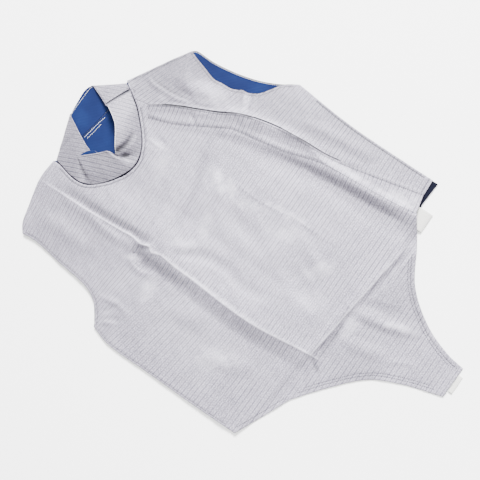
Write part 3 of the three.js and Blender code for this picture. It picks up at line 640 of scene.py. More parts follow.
@dataclass(frozen=True)
class SilverCloth:
    """Conductive cloth woven from polyester and stainless steel thread: pale, softly metallic, pinstriped.

    Attributes:
        stripe_pitch: From one dark stripe to the next, in millimetres.
        stripe_width: Width of a stripe; the real dark thread is about 0.6 mm wide, drawn wider to show.
        faint_width: Width of the faint line midway between two stripes.
        thread_pitch: Of the weave; real threads lie about 0.4 mm apart, drawn coarser so that it shows.
        ground: The cloth's own colours, from its dark clouds to its light ones.
        slub: Colour of the uneven threads.
        grain: Colour of the bright grains of steel.
        stripe: Colour of a stripe.
        faint: Colour of the faint line.
        painted_shade_colour: Colour that the cloth goes towards under painted shade.
        light_and_wear: Colour that rubbed cloth and painted highlight go towards.
    """

    stripe_pitch: float = 6.8
    stripe_width: float = 2.2
    faint_width: float = 1.4
    thread_pitch: float = 1.7
    ground: tuple[tuple[float, str], ...] = ((0.3, "#6d6975"), (0.5, "#817d88"), (0.68, "#94909b"))
    slub: str = "#5c5768"
    grain: str = "#a9a5b2"
    stripe: str = "#3d394d"
    faint: str = "#524e62"
    # Painted shade darkens the cloth towards the first colour; rubbed patches and painted highlight lighten
    # it towards the second.
    painted_shade_colour: str = "#16141c"
    light_and_wear: str = "#c4c1cc"

    def material(self) -> bpy.types.Material:
        """Builds the material on the cloth's own UV map, in metres along and across the stripes."""
        material, tree = blank_material("conductive silver cloth")
        uv = add_node(tree, "ShaderNodeUVMap", uv_map=CLOTH_UV).outputs[0]
        place = add_node(tree, "ShaderNodeSeparateXYZ", {0: uv})
        along, across = place.outputs[0], place.outputs[1]
        streaks = add_node(tree, "ShaderNodeMapping", {0: uv, 3: (70.0, 620.0, 1.0)}).outputs[0]
        slub, cloud = noise(tree, streaks, 1.0), noise(tree, uv, 14.0, 4.0, Roughness=0.6)
        speck, grain = noise(tree, uv, 260.0), noise(tree, uv, 520.0, 1.0)
        wear_and_painted_light = add_node(tree, "ShaderNodeAttribute", attribute_name=LIGHT_AND_WEAR_ATTRIBUTE).outputs["Fac"]
        stripe = self._line(tree, across, self.stripe_width, 0.0)
        faint = self._line(tree, across, self.faint_width, self.stripe_pitch / 2)

        base = ramp(tree, cloud, self.ground)
        base = mixed(tree, maths(tree, "MULTIPLY", slub, 0.5), base, linear(self.slub))
        base = mixed(tree, maths(tree, "MULTIPLY_ADD", grain, 3.0, -1.2), base, linear(self.grain))
        # Stripes show more under painted shade and less under rubbed patches and painted highlight.
        shown = maths(tree, "MULTIPLY_ADD", wear_and_painted_light, -0.6, 1.0)
        ragged = maths(tree, "MULTIPLY_ADD", speck, 2.6, -0.55)
        patchy = maths(tree, "MULTIPLY_ADD", cloud, 2.6, -0.35)
        broken = maths(tree, "MULTIPLY", ragged, patchy, use_clamp=True)
        dark = maths(tree, "MULTIPLY", maths(tree, "MULTIPLY", stripe, broken), shown)
        base = mixed(tree, dark, base, linear(self.stripe))
        base = mixed(tree, maths(tree, "MULTIPLY", faint, 0.42), base, linear(self.faint))
        # Painted shade: the cloth goes towards near-black where the attribute is below 0.
        soil = maths(tree, "MULTIPLY", wear_and_painted_light, -1.05, use_clamp=True)
        base = mixed(tree, soil, base, linear(self.painted_shade_colour))
        # Rubbed patches and painted highlight: lighter where the attribute is above 0.
        uneven = maths(tree, "MULTIPLY_ADD", speck, 1.6, 0.0)
        patch = maths(tree, "MULTIPLY", maths(tree, "MAXIMUM", wear_and_painted_light, 0.0), uneven)
        base = mixed(tree, maths(tree, "MULTIPLY", patch, 0.55), base, linear(self.light_and_wear))

        threads = maths(tree, "MULTIPLY_ADD", slub, 0.6, self._weave(tree, along, across))
        height = maths(tree, "MULTIPLY_ADD", stripe, -0.5, threads)
        rough = maths(tree, "MULTIPLY_ADD", cloud, 0.2, 0.4)
        inputs = {"Base Color": base, "Roughness": rough, "Metallic": 0.22}
        finish_surface(tree, height, 0.26, {**inputs, "Sheen Weight": 0.05, "Sheen Roughness": 0.4})
        return material

    def _line(self, tree: Tree, across: Socket, width: float, shift: float) -> Socket:
        """A soft line of some width at each pitch of the stripes, 1 at its middle and 0 off it."""
        moved = maths(tree, "MULTIPLY_ADD", across, 1.0, shift * MM)
        away = maths(tree, "PINGPONG", moved, self.stripe_pitch * MM / 2)
        out = maths(tree, "SMOOTH_MIN", maths(tree, "DIVIDE", away, width * MM / 2), 1.0, 0.6)
        return maths(tree, "SUBTRACT", 1.0, out)

    def _weave(self, tree: Tree, along: Socket, across: Socket) -> Socket:
        """The height of the plain weave, from threads along and across."""
        turns = math.tau / (self.thread_pitch * MM)
        first = maths(tree, "SINE", maths(tree, "MULTIPLY", along, turns))
        second = maths(tree, "SINE", maths(tree, "MULTIPLY", across, turns))
        return maths(tree, "MULTIPLY", maths(tree, "MULTIPLY", first, second), 0.35)


@dataclass(frozen=True)
class PolyesterLining:
    """Woven polyester lining, dyed royal blue: matt, with a little sheen and a fine twill."""

    twill_pitch: float = 1.8  # a real twill line is about 0.5 mm, drawn coarser so that it shows

    def material(self) -> bpy.types.Material:
        """Builds the material on Object coordinates."""
        material, tree = blank_material("blue polyester lining")
        place = object_place(tree)
        cloud, speck = noise(tree, place, 22.0, 4.0), noise(tree, place, 420.0)
        ribs = {0: place, "Scale": 0.314 / (self.twill_pitch * MM) / 2.0, "Distortion": 0.6}
        wave = add_node(tree, "ShaderNodeTexWave", ribs, bands_direction="DIAGONAL").outputs[1]
        wear_and_painted_light = add_node(tree, "ShaderNodeAttribute", attribute_name=LIGHT_AND_WEAR_ATTRIBUTE).outputs["Fac"]
        base = ramp(tree, cloud, ((0.3, "#071235"), (0.5, "#0a173d"), (0.7, "#0e1e46")))
        base = mixed(tree, maths(tree, "MULTIPLY", speck, 0.25), base, linear("#081639"))
        # Painted shade: near-black by the collar seam, at the left hip and at the collar band's end.
        base = mixed(tree, wear_and_painted_light, base, linear("#020414"))
        height = maths(tree, "MULTIPLY_ADD", speck, 0.6, maths(tree, "MULTIPLY", wave, 0.5))
        inputs = {"Base Color": base, "Roughness": 0.85, "Specular IOR Level": 0.12}
        finish_surface(tree, height, 0.12, inputs)
        return material


@dataclass(frozen=True)
class ElasticWebbing:
    """Knitted white elastic: matt, with ribs along its length."""

    rib_pitch: float = 1.6

    def material(self) -> bpy.types.Material:
        """Builds the material on Object coordinates, ribs along Y."""
        material, tree = blank_material("white elastic webbing")
        place = object_place(tree)
        part = add_node(tree, "ShaderNodeSeparateXYZ", {0: place})
        turns, loop_turns = math.tau / (self.rib_pitch * MM), math.tau / (self.rib_pitch * MM / 1.3)
        rib = maths(tree, "SINE", maths(tree, "MULTIPLY", part.outputs[0], turns))
        loops = maths(tree, "SINE", maths(tree, "MULTIPLY", part.outputs[1], loop_turns))
        knit = maths(tree, "MULTIPLY_ADD", loops, 0.15, noise(tree, place, 500.0))
        height = maths(tree, "MULTIPLY_ADD", rib, 0.4, knit)
        base = ramp(tree, maths(tree, "MULTIPLY_ADD", height, 0.4, 0.3), ((0.1, "#b4b3af"), (0.8, "#d6d5d1")))
        finish_surface(tree, height, 0.18, {"Base Color": base, "Roughness": 0.85, "Sheen Weight": 0.2})
        return material


@dataclass(frozen=True)
class ZipTape:
    """Woven polyester zip tape: grey, matt, with a herringbone."""

    rib_pitch: float = 1.4

    def material(self) -> bpy.types.Material:
        """Builds the material on Object coordinates."""
        material, tree = blank_material("woven zip tape")
        place = object_place(tree)
        part = add_node(tree, "ShaderNodeSeparateXYZ", {0: place})
        side = maths(tree, "PINGPONG", part.outputs[0], 2.0 * MM)
        twill = maths(tree, "ADD", part.outputs[1], side)
        rib = maths(tree, "SINE", maths(tree, "MULTIPLY", twill, math.tau / (self.rib_pitch * MM)))
        base = ramp(tree, maths(tree, "MULTIPLY_ADD", rib, 0.4, 0.5), ((0.1, "#85858f"), (0.9, "#a3a3ab")))
        finish_surface(tree, rib, 0.12, {"Base Color": base, "Roughness": 0.8})
        return material


@dataclass(frozen=True)
class PlainFinish:
    """A moulded, painted or spun finish: one colour with grain, for the small hard parts and the thread.

    Attributes:
        name: What the finish is.
        dark: Its colour in the grain's hollows.
        light: Its colour on the grain's tops.
        roughness: Mean roughness.
        metallic: Share of bare metal.
        grain: Size of the grain in millimetres.
        depth: Depth of the grain in millimetres.
    """

    name: str
    dark: str
    light: str
    roughness: float
    metallic: float
    grain: float
    depth: float

    def material(self) -> bpy.types.Material:
        """Builds the material on Object coordinates."""
        material, tree = blank_material(self.name)
        grain = noise(tree, object_place(tree), 1.0 / (self.grain * MM), 3.0)
        base = ramp(tree, grain, ((0.35, self.dark), (0.65, self.light)))
        rough = maths(tree, "MULTIPLY_ADD", grain, 0.2, self.roughness - 0.1)
        inputs = {"Base Color": base, "Roughness": rough, "Metallic": self.metallic}
        finish_surface(tree, grain, self.depth, inputs)
        return material


class Finish(Enum):
    """The finishes of the lame, each built once."""

    SILVER = SilverCloth()
    LINING = PolyesterLining()
    ELASTIC = ElasticWebbing()
    TAPE = ZipTape()
    # A nylon coil, moulded smooth, so its loops catch small soft lights.
    COIL = PlainFinish("nylon zip coil", "#6f7078", "#8c8d95", 0.45, 0.0, 1.5, 0.02)
    # Zinc alloy under dark paint: half gloss, with small scuffs.
    SLIDER = PlainFinish("painted zinc slider", "#303238", "#44464d", 0.38, 0.6, 0.8, 0.02)
    # Spun polyester thread: a little sheen and a faint twist.
    GREY_THREAD = PlainFinish("grey polyester thread", "#23212c", "#454350", 0.6, 0.0, 0.5, 0.05)
    # Near-black cord, matt and fuzzy: painted shadow, a dark line where shade falls along cut edges and the
    # flap's free edge.
    SHADOW_CORD = PlainFinish("painted shadow cord", "#08070c", "#15141d", 0.9, 0.0, 0.5, 0.05)
    WHITE_THREAD = PlainFinish("white polyester thread", "#e2e2e2", "#f6f6f6", 0.6, 0.0, 0.5, 0.05)

    def built(self) -> bpy.types.Material:
        """The finish's material."""
        if self not in _BUILT:
            _BUILT[self] = self.value.material()
        return _BUILT[self]


_BUILT: dict[Finish, bpy.types.Material] = {}


def linked(name: str, data: bpy.types.ID) -> bpy.types.Object:
    """A new object that holds some data, in the scene."""
    made = bpy.data.objects.new(name, data)
    bpy.context.scene.collection.objects.link(made)
    return made


@dataclass
class MeshData:
    """What a mesh is made from.

    Attributes:
        points: Vertex places in millimetres.
        faces: Lists of vertex numbers.
        uv: Place of each vertex on the cloth, in millimetres along and across its stripes.
        inner: Whether each face shows the cloth's inner side.
        wear_and_painted_light: Above 0, how much lighter each vertex is drawn by rubbed patches and painted
            highlight, below 0 how much darker by painted shade; on the lining, how much painted shade darkens
            it.
    """

    points: np.ndarray
    faces: list
    uv: np.ndarray | None = None
    inner: np.ndarray | None = None
    wear_and_painted_light: np.ndarray | None = None

    def made(self, name: str, *finishes: Finish) -> bpy.types.Object:
        """Makes the object, smooth shaded.

        Args:
            name: The object's name.
            *finishes: The outer finish and, where it differs, the inner one.

        Returns:
            The new object, in the scene.
        """
        mesh = bpy.data.meshes.new(name)
        mesh.from_pydata((self.points * MM).tolist(), [], [list(f) for f in self.faces])
        for finish in finishes:
            mesh.materials.append(finish.built())
        mesh.polygons.foreach_set("use_smooth", np.ones(len(mesh.polygons), bool))
        if self.inner is not None:
            mesh.polygons.foreach_set("material_index", self.inner.astype(np.int32))
        if self.uv is not None:
            corners = np.zeros(len(mesh.loops), np.int32)
            mesh.loops.foreach_get("vertex_index", corners)
            layer = mesh.uv_layers.new(name=CLOTH_UV)
            layer.data.foreach_set("uv", (self.uv[corners] * MM).astype(np.float32).ravel())
        if self.wear_and_painted_light is not None:
            light_and_wear_layer = mesh.attributes.new(LIGHT_AND_WEAR_ATTRIBUTE, "FLOAT", "POINT")
            light_and_wear_layer.data.foreach_set("value", self.wear_and_painted_light.astype(np.float32))
        mesh.update()
        return linked(name, mesh)


def beside(rows: Rows, x: np.ndarray, y: np.ndarray) -> tuple[np.ndarray, np.ndarray]:
    """How far points lie from a table's curve, and the table's last column at the nearest place."""
    line = spline(rows, 4)
    track = Track(line)
    away, place = track.near(x, y)
    length = np.concatenate([[0.0], np.cumsum(np.linalg.norm(np.diff(line[:, :2], axis=0), axis=1))])
    return away, np.interp(place / (len(track.points) - 1), length / length[-1], line[:, 2])


def out_of_patch(x: np.ndarray, y: np.ndarray, patch: tuple[float, ...]) -> np.ndarray:
    """How far points lie out of the middle of a (x, y, half length, half width, turn) oval, 1 on its edge."""
    cx, cy, long, wide, turn = patch
    c, s = math.cos(math.radians(turn)), math.sin(math.radians(turn))
    a, b = (x - cx) * c + (y - cy) * s, (y - cy) * c - (x - cx) * s
    return np.hypot(a / long, b / wide)


def light_and_wear(x: np.ndarray, y: np.ndarray) -> np.ndarray:
    """How much lighter the silver is drawn at each point by rubbed patches and painted highlight, or below 0
    how much darker by painted shade.
    """
    total = np.zeros(x.shape)
    edge = 0.35 * wander(x, y, 14.0, 21) + 0.2 * wander(x, y, 6.0, 22)
    # Rubbed patches, and painted highlight along the crests.
    for *patch, strength in RUBBED_AND_HIGHLIT:
        total = np.maximum(total, strength * smooth(1.25 - out_of_patch(x, y, patch) + edge))
    # Broad painted shade, and painted light where the strength is below 0.
    for *patch, strength in PAINTED_LIGHT_AND_SHADE:
        total = total - strength * smooth(1.4 - out_of_patch(x, y, patch))
    # Painted shade along folds, troughs and the flap's free edge.
    for rows, reach in PAINTED_SHADE_LINES:
        away, strength = beside(rows, x, y)
        total = total - strength * smooth(1.0 - away / reach)
    # Painted highlight along the crests.
    for rows in CRESTS:
        away, strength = beside(rows, x, y)
        crest = smooth(1.1 - away / (0.9 + 0.8 * strength))
        total = total * (1.0 - crest) + np.minimum(1.5 * strength, 1.3) * crest
    return total


def report(piece: bpy.types.Object, slot: str, *nodes: str) -> bpy.types.Object:
    """Puts a finished piece on its body, hides the imported solids that it stands for, and logs it."""
    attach(piece, BODY)
    if nodes:
        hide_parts(*nodes)
    LOG.info("%s: %d faces", piece.name, len(piece.data.polygons))
    return piece


@dataclass
class StitchRow:
    """A row of stitches on a cloth.

    Attributes:
        line: Its plan points.
        channel: How deep it pulls the cloth in.
        width: Half the width of the channel.
        soil: How much painted shade darkens the cloth along it.
    """

    line: np.ndarray
    channel: float = 0.4
    width: float = 1.3
    soil: float = 0.24

    @classmethod
    def along(
        cls, table: Rows, inset: float, trim: tuple[int, int], channel: float, soil: float = 0.24
    ) -> "StitchRow":
        """A row at a distance inside an edge, with some points left out at its start and its end."""
        first, last = trim
        return cls(offset(spline(table, 8), inset)[first:-last], channel, soil=soil)


@dataclass
class Panel:
    """A flat-cut cloth that lies with its own heights, as a closed thin shell.

    Attributes:
        name: The piece's name.
        outline: Its plan outline, anticlockwise.
        upper: The height of its upper face.
        thickness: From face to face.
        spacing: Distance between its mesh points.
        stitches: Its rows of stitches.
        hem: Width of the turned edge.
        hem_rise: How far the turned edge stands up.
        grain: The place of a point across the stripes.
        crests: Lines with finer mesh along them.
    """

    name: str
    outline: np.ndarray
    upper: Height
    thickness: float
    spacing: float
    stitches: list[StitchRow] = field(default_factory=list)
    hem: float = 6.5
    hem_rise: float = 0.3
    grain: Height = staticmethod(lambda x, y: y)
    crests: list[np.ndarray] = field(default_factory=list)

    rim_reach = 0.9
    rim_share = 0.3  # of the thickness, taken off each face at the rim
    # How far the painted shade along a stitch channel reaches.
    soil_reach = 1.1
    insets = (0.9, 2.6)  # rows of mesh points inside the edge
    crest_rows = (-3.0, -1.3, 0.0, 1.3, 3.0)  # rows of mesh points beside a crest

    def __post_init__(self) -> None:
        """Prepares the lines that the heights are measured from."""
        self.edge = Track(self.outline, closed=True)
        self.tracks = [(row, Track(row.line)) for row in self.stitches]

    def top(self, x: np.ndarray, y: np.ndarray) -> np.ndarray:
        """The upper face's height, with the turned edge, the stitch channels and their puckers."""
        z = self.upper(x, y)
        away, along = self.edge.near(x, y)
        z = z + self.hem_rise * smooth((self.hem - away) / 1.6 + 0.5)
        puckers = np.sin(math.tau * along / 7.3 + 2.0 * np.sin(along / 31.0))
        puckers = puckers * (0.6 + 0.4 * np.sin(along / 19.0))
        z = z + 0.2 * puckers * np.exp(-((away / (1.5 * self.hem)) ** 2))
        for row, track in self.tracks:
            gap, run = track.near(x, y)
            z = z - row.channel * np.exp(-((gap / row.width) ** 2))
            z = z + 0.14 * np.sin(math.tau * run / 6.1 + np.sin(run / 23.0)) * np.exp(-((gap / 5.0) ** 2))
        return z

    def rim(self, away: np.ndarray) -> np.ndarray:
        """How near the rim each distance from it is: 1 on it and 0 past its reach."""
        return smooth(1.0 - away / self.rim_reach)

    def mesh(self) -> MeshData:
        """The shell's mesh: the upper face, the lower face and the rim between them."""
        points, faces = self._flat()
        x, y = points.T
        top = self.top(x, y)
        away, _ = self.edge.near(x, y)
        round_off = self.rim_share * self.thickness * self.rim(away)
        low = np.maximum(top - self.thickness, 0.0) + round_off
        count = len(points)
        sides = dict.fromkeys(side for a, b, c in faces for side in ((a, b), (b, c), (c, a)))
        rims = [(a + count, b + count, b, a) for a, b in sides if (b, a) not in sides]
        under = [(c + count, b + count, a + count) for a, b, c in faces]
        uv = np.column_stack([x, self.grain(x, y)])
        inner = np.concatenate([np.zeros(len(faces)), np.ones(len(under)), np.zeros(len(rims))])
        places = np.vstack([np.column_stack([x, y, top - round_off]), np.column_stack([x, y, low])])
        wear_and_painted_light = light_and_wear(x, y)
        # Painted shade along each stitch channel.
        for row, track in self.tracks:
            gap, _ = track.near(x, y)
            wear_and_painted_light = wear_and_painted_light - row.soil * np.exp(-((gap / self.soil_reach) ** 2))
        return MeshData(places, [*faces, *under, *rims], np.vstack([uv, uv]), inner, np.tile(wear_and_painted_light, 2))

    def area(self) -> float:
        """The flat area of its cut in square metres."""
        x, y = self.outline.T
        return abs(np.dot(x, np.roll(y, -1)) - np.dot(y, np.roll(x, -1))) / 2 * MM * MM

    def flat(self) -> tuple[float, float]:
        """The width and length of its cut in metres, as the smallest turned rectangle round it."""
        turns = np.radians(np.arange(0.0, 90.0, 2.0))
        axes = [np.array(((math.cos(t), -math.sin(t)), (math.sin(t), math.cos(t)))) for t in turns]
        sides = [np.ptp(self.outline @ turn, axis=0) for turn in axes]
        width, length = min(sides, key=np.prod) * MM
        return float(width), float(length)

    def _flat(self) -> tuple[np.ndarray, list[tuple[int, int, int]]]:
        """Triangles over the outline: its points, rows along the edge and the stitches, and an even grid."""
        lines = [offset(self.outline, inset, closed=True) for inset in self.insets]
        for row in self.stitches:
            even = resample(row.line, self.spacing * 0.9)
            lines += [offset(even, shift) for shift in (-row.width, 0.0, row.width)]
        for crest in self.crests:
            even = resample(crest[:, :2], self.spacing * 0.7)
            lines += [offset(even, shift) for shift in self.crest_rows]
        guides = np.vstack(lines)
        edge_gap, _ = self.edge.near(*guides.T)
        guides = guides[inside(guides, self.outline) & (edge_gap > 0.5)]
        low, high = self.outline.min(axis=0), self.outline.max(axis=0)
        rows = np.arange(low[1], high[1], self.spacing * math.sqrt(0.75))
        columns = np.arange(low[0], high[0], self.spacing)
        shifts = (np.arange(len(rows)) % 2) * self.spacing / 2
        grid = np.vstack([
            np.column_stack([columns + shift, np.full(len(columns), y)]) for shift, y in zip(shifts, rows)
        ])
        grid = grid[inside(grid, self.outline)]
        fixed = np.vstack([self.outline, guides])
        tree = search_tree(fixed)
        clear = np.array([tree.find((x, y, 0.0))[2] for x, y in grid]) > self.spacing * 0.62
        points = np.vstack([fixed, grid[clear]])
        count = len(self.outline)
        edges = [(i, (i + 1) % count) for i in range(count)]
        made, _, faces, *_ = delaunay_2d_cdt([Vector(p) for p in points], edges, [], 1, 1e-4)
        return np.array([tuple(v) for v in made]), [tuple(f) for f in faces]


def turned(rows: Rows, pivot: float | Rows, side: int = 0) -> Height:
    """A grain whose stripes turn from the X axis by an angle that depends on y.

    Args:
        rows: (y, degrees) rows from high y to low.
        pivot: The x where the turn starts, or a table whose first column gives it.
        side: -1 turns only below the pivot, 1 only above it, 0 on both sides.

    Returns:
        The function of x and y that gives a point's place across the stripes.
    """

    levels, angles = np.array(rows[::-1], float).T

    def grain(x: np.ndarray, y: np.ndarray) -> np.ndarray:
        """The place across the stripes."""
        start = by_row(pivot, y, 0) if not isinstance(pivot, (int, float)) else pivot
        away = x - start
        if side:
            away = side * np.sqrt(np.maximum(side * away, 0.0) ** 2 + 144.0) - side * 12.0
        return y - away * np.tan(np.radians(np.interp(y, levels, angles)))

    return grain


# How the stripes turn from the X axis on each front piece: (y, degrees)
MAIN_GRAIN = ((330, 7), (261, 7), (211, 2), (90, -13), (-26, -6.5), (-129, -2), (-220, 0))
LEFT_GRAIN = ((300, -22), (196, -22), (60, -6), (-35, 1), (-128, 3.5), (-220, 3.5))
FLAP_GRAIN = ((270, 8), (182, 8), (-11, 10), (-220, 10))


@dataclass
class Fronts:
    """The two fronts and the zip flap that covers their parting.

    Attributes:
        lie: The heights that they lie at.
        outline_step: Distance between the outline's points.
        neck_clearance: Space to the collar's seam, at the wearer's left and at the right.
        wall: Thickness of the fronts' cloth.
        spacing: Distance between their mesh points.
    """

    lie: FrontLie
    outline_step: float = 2.4
    neck_clearance: tuple[float, float] = (1.0, 1.9)
    wall: float = 0.8
    spacing: float = 3.2

    def __post_init__(self) -> None:
        """Builds the three panels."""
        right_edge = self.parting(-1)
        left_edge = self.parting(1)
        neck = self.neck()
        split = int(np.argmin(np.linalg.norm(neck - right_edge[0], axis=1)))
        hem = resample(spline(GROIN_LEFT, 10), 1.0)
        groin_end = int(np.argmin(np.linalg.norm(hem - right_edge[-1], axis=1)))
        main = loop_of(
            right_edge[::-1], neck[split:], spline(SHOULDER_RIGHT, 10), spline(FRONT_ARMHOLE_RIGHT, 10),
            spline(SIDE_RIGHT, 10), spline(FRONT_HEM_RIGHT, 10), spline(GROIN_RIGHT, 10),
            np.array([GROIN_RIGHT[-1], GROIN_LEFT[0]], float), hem[: groin_end + 1], step=self.outline_step)
        left = loop_of(
            neck[: split + 1][::-1], spline(SHOULDER_LEFT, 10)[::-1], spline(FRONT_ARMHOLE_LEFT, 10)[::-1],
            spline(SIDE_LEFT, 10)[::-1], np.array([FRONT_HEM_LEFT[1], left_edge[-1]], float), left_edge[::-1],
            step=self.outline_step)
        self.main = Panel(
            "front_main_cloth", main, self.lie.top, self.wall, self.spacing, self._main_stitches(neck, split),
            grain=turned(MAIN_GRAIN, -100.0, -1), crests=[spline(c, 4) for c in CRESTS])
        self.left = Panel(
            "front_left_cloth", left[::-1], self._left_top, self.wall, self.spacing,
            self._left_stitches(neck, split), grain=turned(LEFT_GRAIN, 190.0), crests=[spline(FLAP_SHADE, 4)])
        self.flap = self._flap()

    def _left_top(self, x: np.ndarray, y: np.ndarray) -> np.ndarray:
        """The left front's upper face, which dips beside the flap's free edge."""
        dip = sum(c.at(x, y) for c in DIPS)
        return np.maximum(self.lie.top(x, y) + dip, self.lie.bare(x, y) + self.lie.least_wall)

    def neck(self) -> np.ndarray:
        """The neck edge of the fronts, round the collar's seam from the wearer's left."""
        line = spline(COLLAR_SEAM_PLAN, 6)
        near, far = self.neck_clearance
        return offset(line, near + (far - near) * smooth((40.0 - line[:, 0]) / 50.0))

    def parting(self, side: int) -> np.ndarray:
        """One cut edge at the zip, from the neck down to the hem."""
        line = spline(PARTING, 6)
        edge = resample(offset(line[:, :2], side * line[:, 2]), 1.0)
        return edge[edge[:, 1] > FRONT_HEM_LEFT[0][1] + 0.5]

    def _main_stitches(self, neck: np.ndarray, split: int) -> list[StitchRow]:
        """Topstitching of the main front."""
        groin = (GROIN_RIGHT, GROIN_LEFT[:-1])
        return [
            StitchRow(offset(neck[split + 3 :], 4.4)[:-4], 0.7, soil=0.6),
            StitchRow.along(FRONT_ARMHOLE_RIGHT, 4.0, (2, 2), 0.3),
            StitchRow.along(SIDE_RIGHT, 3.5, (2, 2), 0.3),
            StitchRow.along(FRONT_HEM_RIGHT, 6.0, (2, 1), 0.3),
            *(StitchRow.along(table, 6.0, (2, 2), 0.35) for table in groin),
            *(StitchRow.along(table, 10.0, (4, 3), 0.2, 0.1) for table in groin),
        ]

    def _left_stitches(self, neck: np.ndarray, split: int) -> list[StitchRow]:
        """Topstitching of the left front."""
        return [
            StitchRow(offset(neck[: max(split - 2, 2)], 4.4), 0.7, soil=0.5),
            StitchRow.along(SHOULDER_LEFT, 3.5, (2, 2), 0.3),
            StitchRow.along(FRONT_ARMHOLE_LEFT, 4.0, (3, 2), 0.35),
            StitchRow.along(SIDE_LEFT, 3.6, (2, 3), 0.35, 0.6),
            StitchRow(offset(spline(FRONT_HEM_LEFT, 4), 5.0), 0.3),
        ]

    def _flap(self) -> Panel:
        """The flap: sewn down along one edge, standing off the front in places along the other."""
        rows = np.array(FLAP, float)
        seam, free = spline(rows[:, :2], 10), spline(rows[:, 2:], 10)
        outline = loop_of(seam, free[::-1], step=2.0)
        seam_track = Track(seam)

        def upper(x: np.ndarray, y: np.ndarray) -> np.ndarray:
            """The flap's upper face: on the front, thinning to nothing more than a fold at its seam."""
            lift = np.max([c.at(x, y) for c in FLAP_LIFTS], axis=0)
            away, _ = seam_track.near(x, y)
            fine = sum(c.at(x, y) for c in FLAP_CREASES.values())
            rise = 0.12 + (GAP + FLAP_WALL + fine) * smooth(away / 6.5)
            return self.lie.top(x, y) + rise + lift * smooth(away / 9.0)

        stitches = [StitchRow(offset(seam, 2.2)[1:-1], 0.45), StitchRow(offset(free, -3.0)[1:-1], 0.3)]
        return Panel(
            "zip_flap_cloth", outline, upper, 1.1, 2.6, stitches, hem=3.0, hem_rise=0.15,
            grain=turned(FLAP_GRAIN, FLAP))

    def build(self) -> list[Panel]:
        for panel, node, rests, inner in (
            (self.main, "front_main", "back_lining", Finish.LINING),
            (self.left, "front_left", "back_lining", Finish.LINING),
            (self.flap, "zip_flap", "front_main", Finish.SILVER),
        ):
            piece = panel.mesh().made(panel.name, Finish.SILVER, inner)
            report(piece, "silver_cloth", node)
            panel.flat()
            panel.area()
        return [self.main, self.left, self.flap]


# The collar's seam in plan, from its upper end at the wearer's left round the front to the right fold
COLLAR_SEAM_PLAN = (
    (100, 307), (84, 281), (66, 261), (50, 245), (33, 232), (10, 223.5), (-10, 226.5), (-30, 237), (-52, 255),
    (-67, 275), (-71, 293), (-70, 310), (-67, 326), (-65, 337),
)


@dataclass
class Back:
    """The back of the garment: silver outside on the floor, blue lining inside."""

    lining_inset: float = 0.3

    def outline(self, step: float) -> np.ndarray:
        """The back's outline, anticlockwise."""
        seam = [(row[0], row[1]) for row in COLLAR_BACK]
        neck = offset(spline(seam[::-1], 6), 2 * GAP)
        return loop_of(
            spline(SHOULDER_LEFT, 10), neck, spline(SHOULDER_RIGHT, 10), spline(BACK_ARMHOLE_RIGHT, 10),
            spline(SIDE_RIGHT, 10), spline(BACK_HEM, 10), spline(SIDE_LEFT, 10),
            spline(BACK_ARMHOLE_LEFT, 10), step=step)

    def build(self) -> Panel:
        """Returns:
            The lining, which its stitches lie on.
        """
        outer = self.outline(3.0)

        def silver_top(x: np.ndarray, y: np.ndarray) -> np.ndarray:
            """The hidden upper face of the silver back."""
            return np.full(x.shape, BACK_WALL)

        def lining_top(x: np.ndarray, y: np.ndarray) -> np.ndarray:
            """The lining's upper face, slack between its seams."""
            slack = LINING_LIE + LINING_WALL - 0.15 + 0.22 * wander(x, y, 34.0, 31)
            return slack + 0.1 * wander(x, y, 13.0, 32)

        silver = Panel("back_panel_cloth", outer, silver_top, BACK_WALL, 5.5, hem_rise=0.0)
        data = silver.mesh()
        half = len(data.points) // 2
        low = data.points[half:]
        x, y = low[:, 0], low[:, 1]
        away, _ = silver.edge.near(x, y)
        creased = sum(c.at(x, y) for c in UNDERSIDE_CREASES)
        low[:, 2] = np.clip(creased, 0.0, 0.8) * smooth(away / 14.0) + 0.3 * silver.rim(away)
        seam_gap, _ = Track(np.array(CENTRE_BACK, float)).near(x, y)
        low[:, 2] += 0.35 * np.exp(-((seam_gap / 1.2) ** 2))
        piece = data.made(silver.name, Finish.SILVER)
        report(piece, "silver_cloth", "back_panel")

        edge = offset(outer, self.lining_inset, closed=True)
        rows = [
            StitchRow.along(BACK_ARMHOLE_LEFT, 1.7, (1, 1), 0.2),
            StitchRow.along(BACK_ARMHOLE_RIGHT, 1.7, (1, 1), 0.2),
            StitchRow.along(BACK_HEM[:-3], 4.0, (1, 1), 0.3),
            *(StitchRow(np.array(row, float), 0.2) for row in NECK_ROWS),
        ]
        lining = Panel("back_lining_cloth", edge, lining_top, 0.8, 4.6, rows, hem=3.5, hem_rise=0.2)
        data = lining.mesh()
        x, y = data.points[:, 0], data.points[:, 1]
        # Painted shade on the lining: darker at the left hip and in the gap along the collar seam.
        gap, _ = Track(spline(COLLAR_SEAM_PLAN, 6)).near(x, y)
        hip = smooth((x - 140.0) / 40.0) * smooth((-150.0 - y) / 30.0)
        data.wear_and_painted_light = np.maximum(hip, smooth(1.8 - gap / 5.0))
        piece = data.made(lining.name, Finish.LINING)
        report(piece, "blue_lining", "back_lining")
        return lining


# Two rows of stitches on the lining below the collar's back seam
NECK_ROWS = (((-5, 328.5), (17, 324), (39, 319)), ((-4, 323), (11, 320), (26, 317.5)))

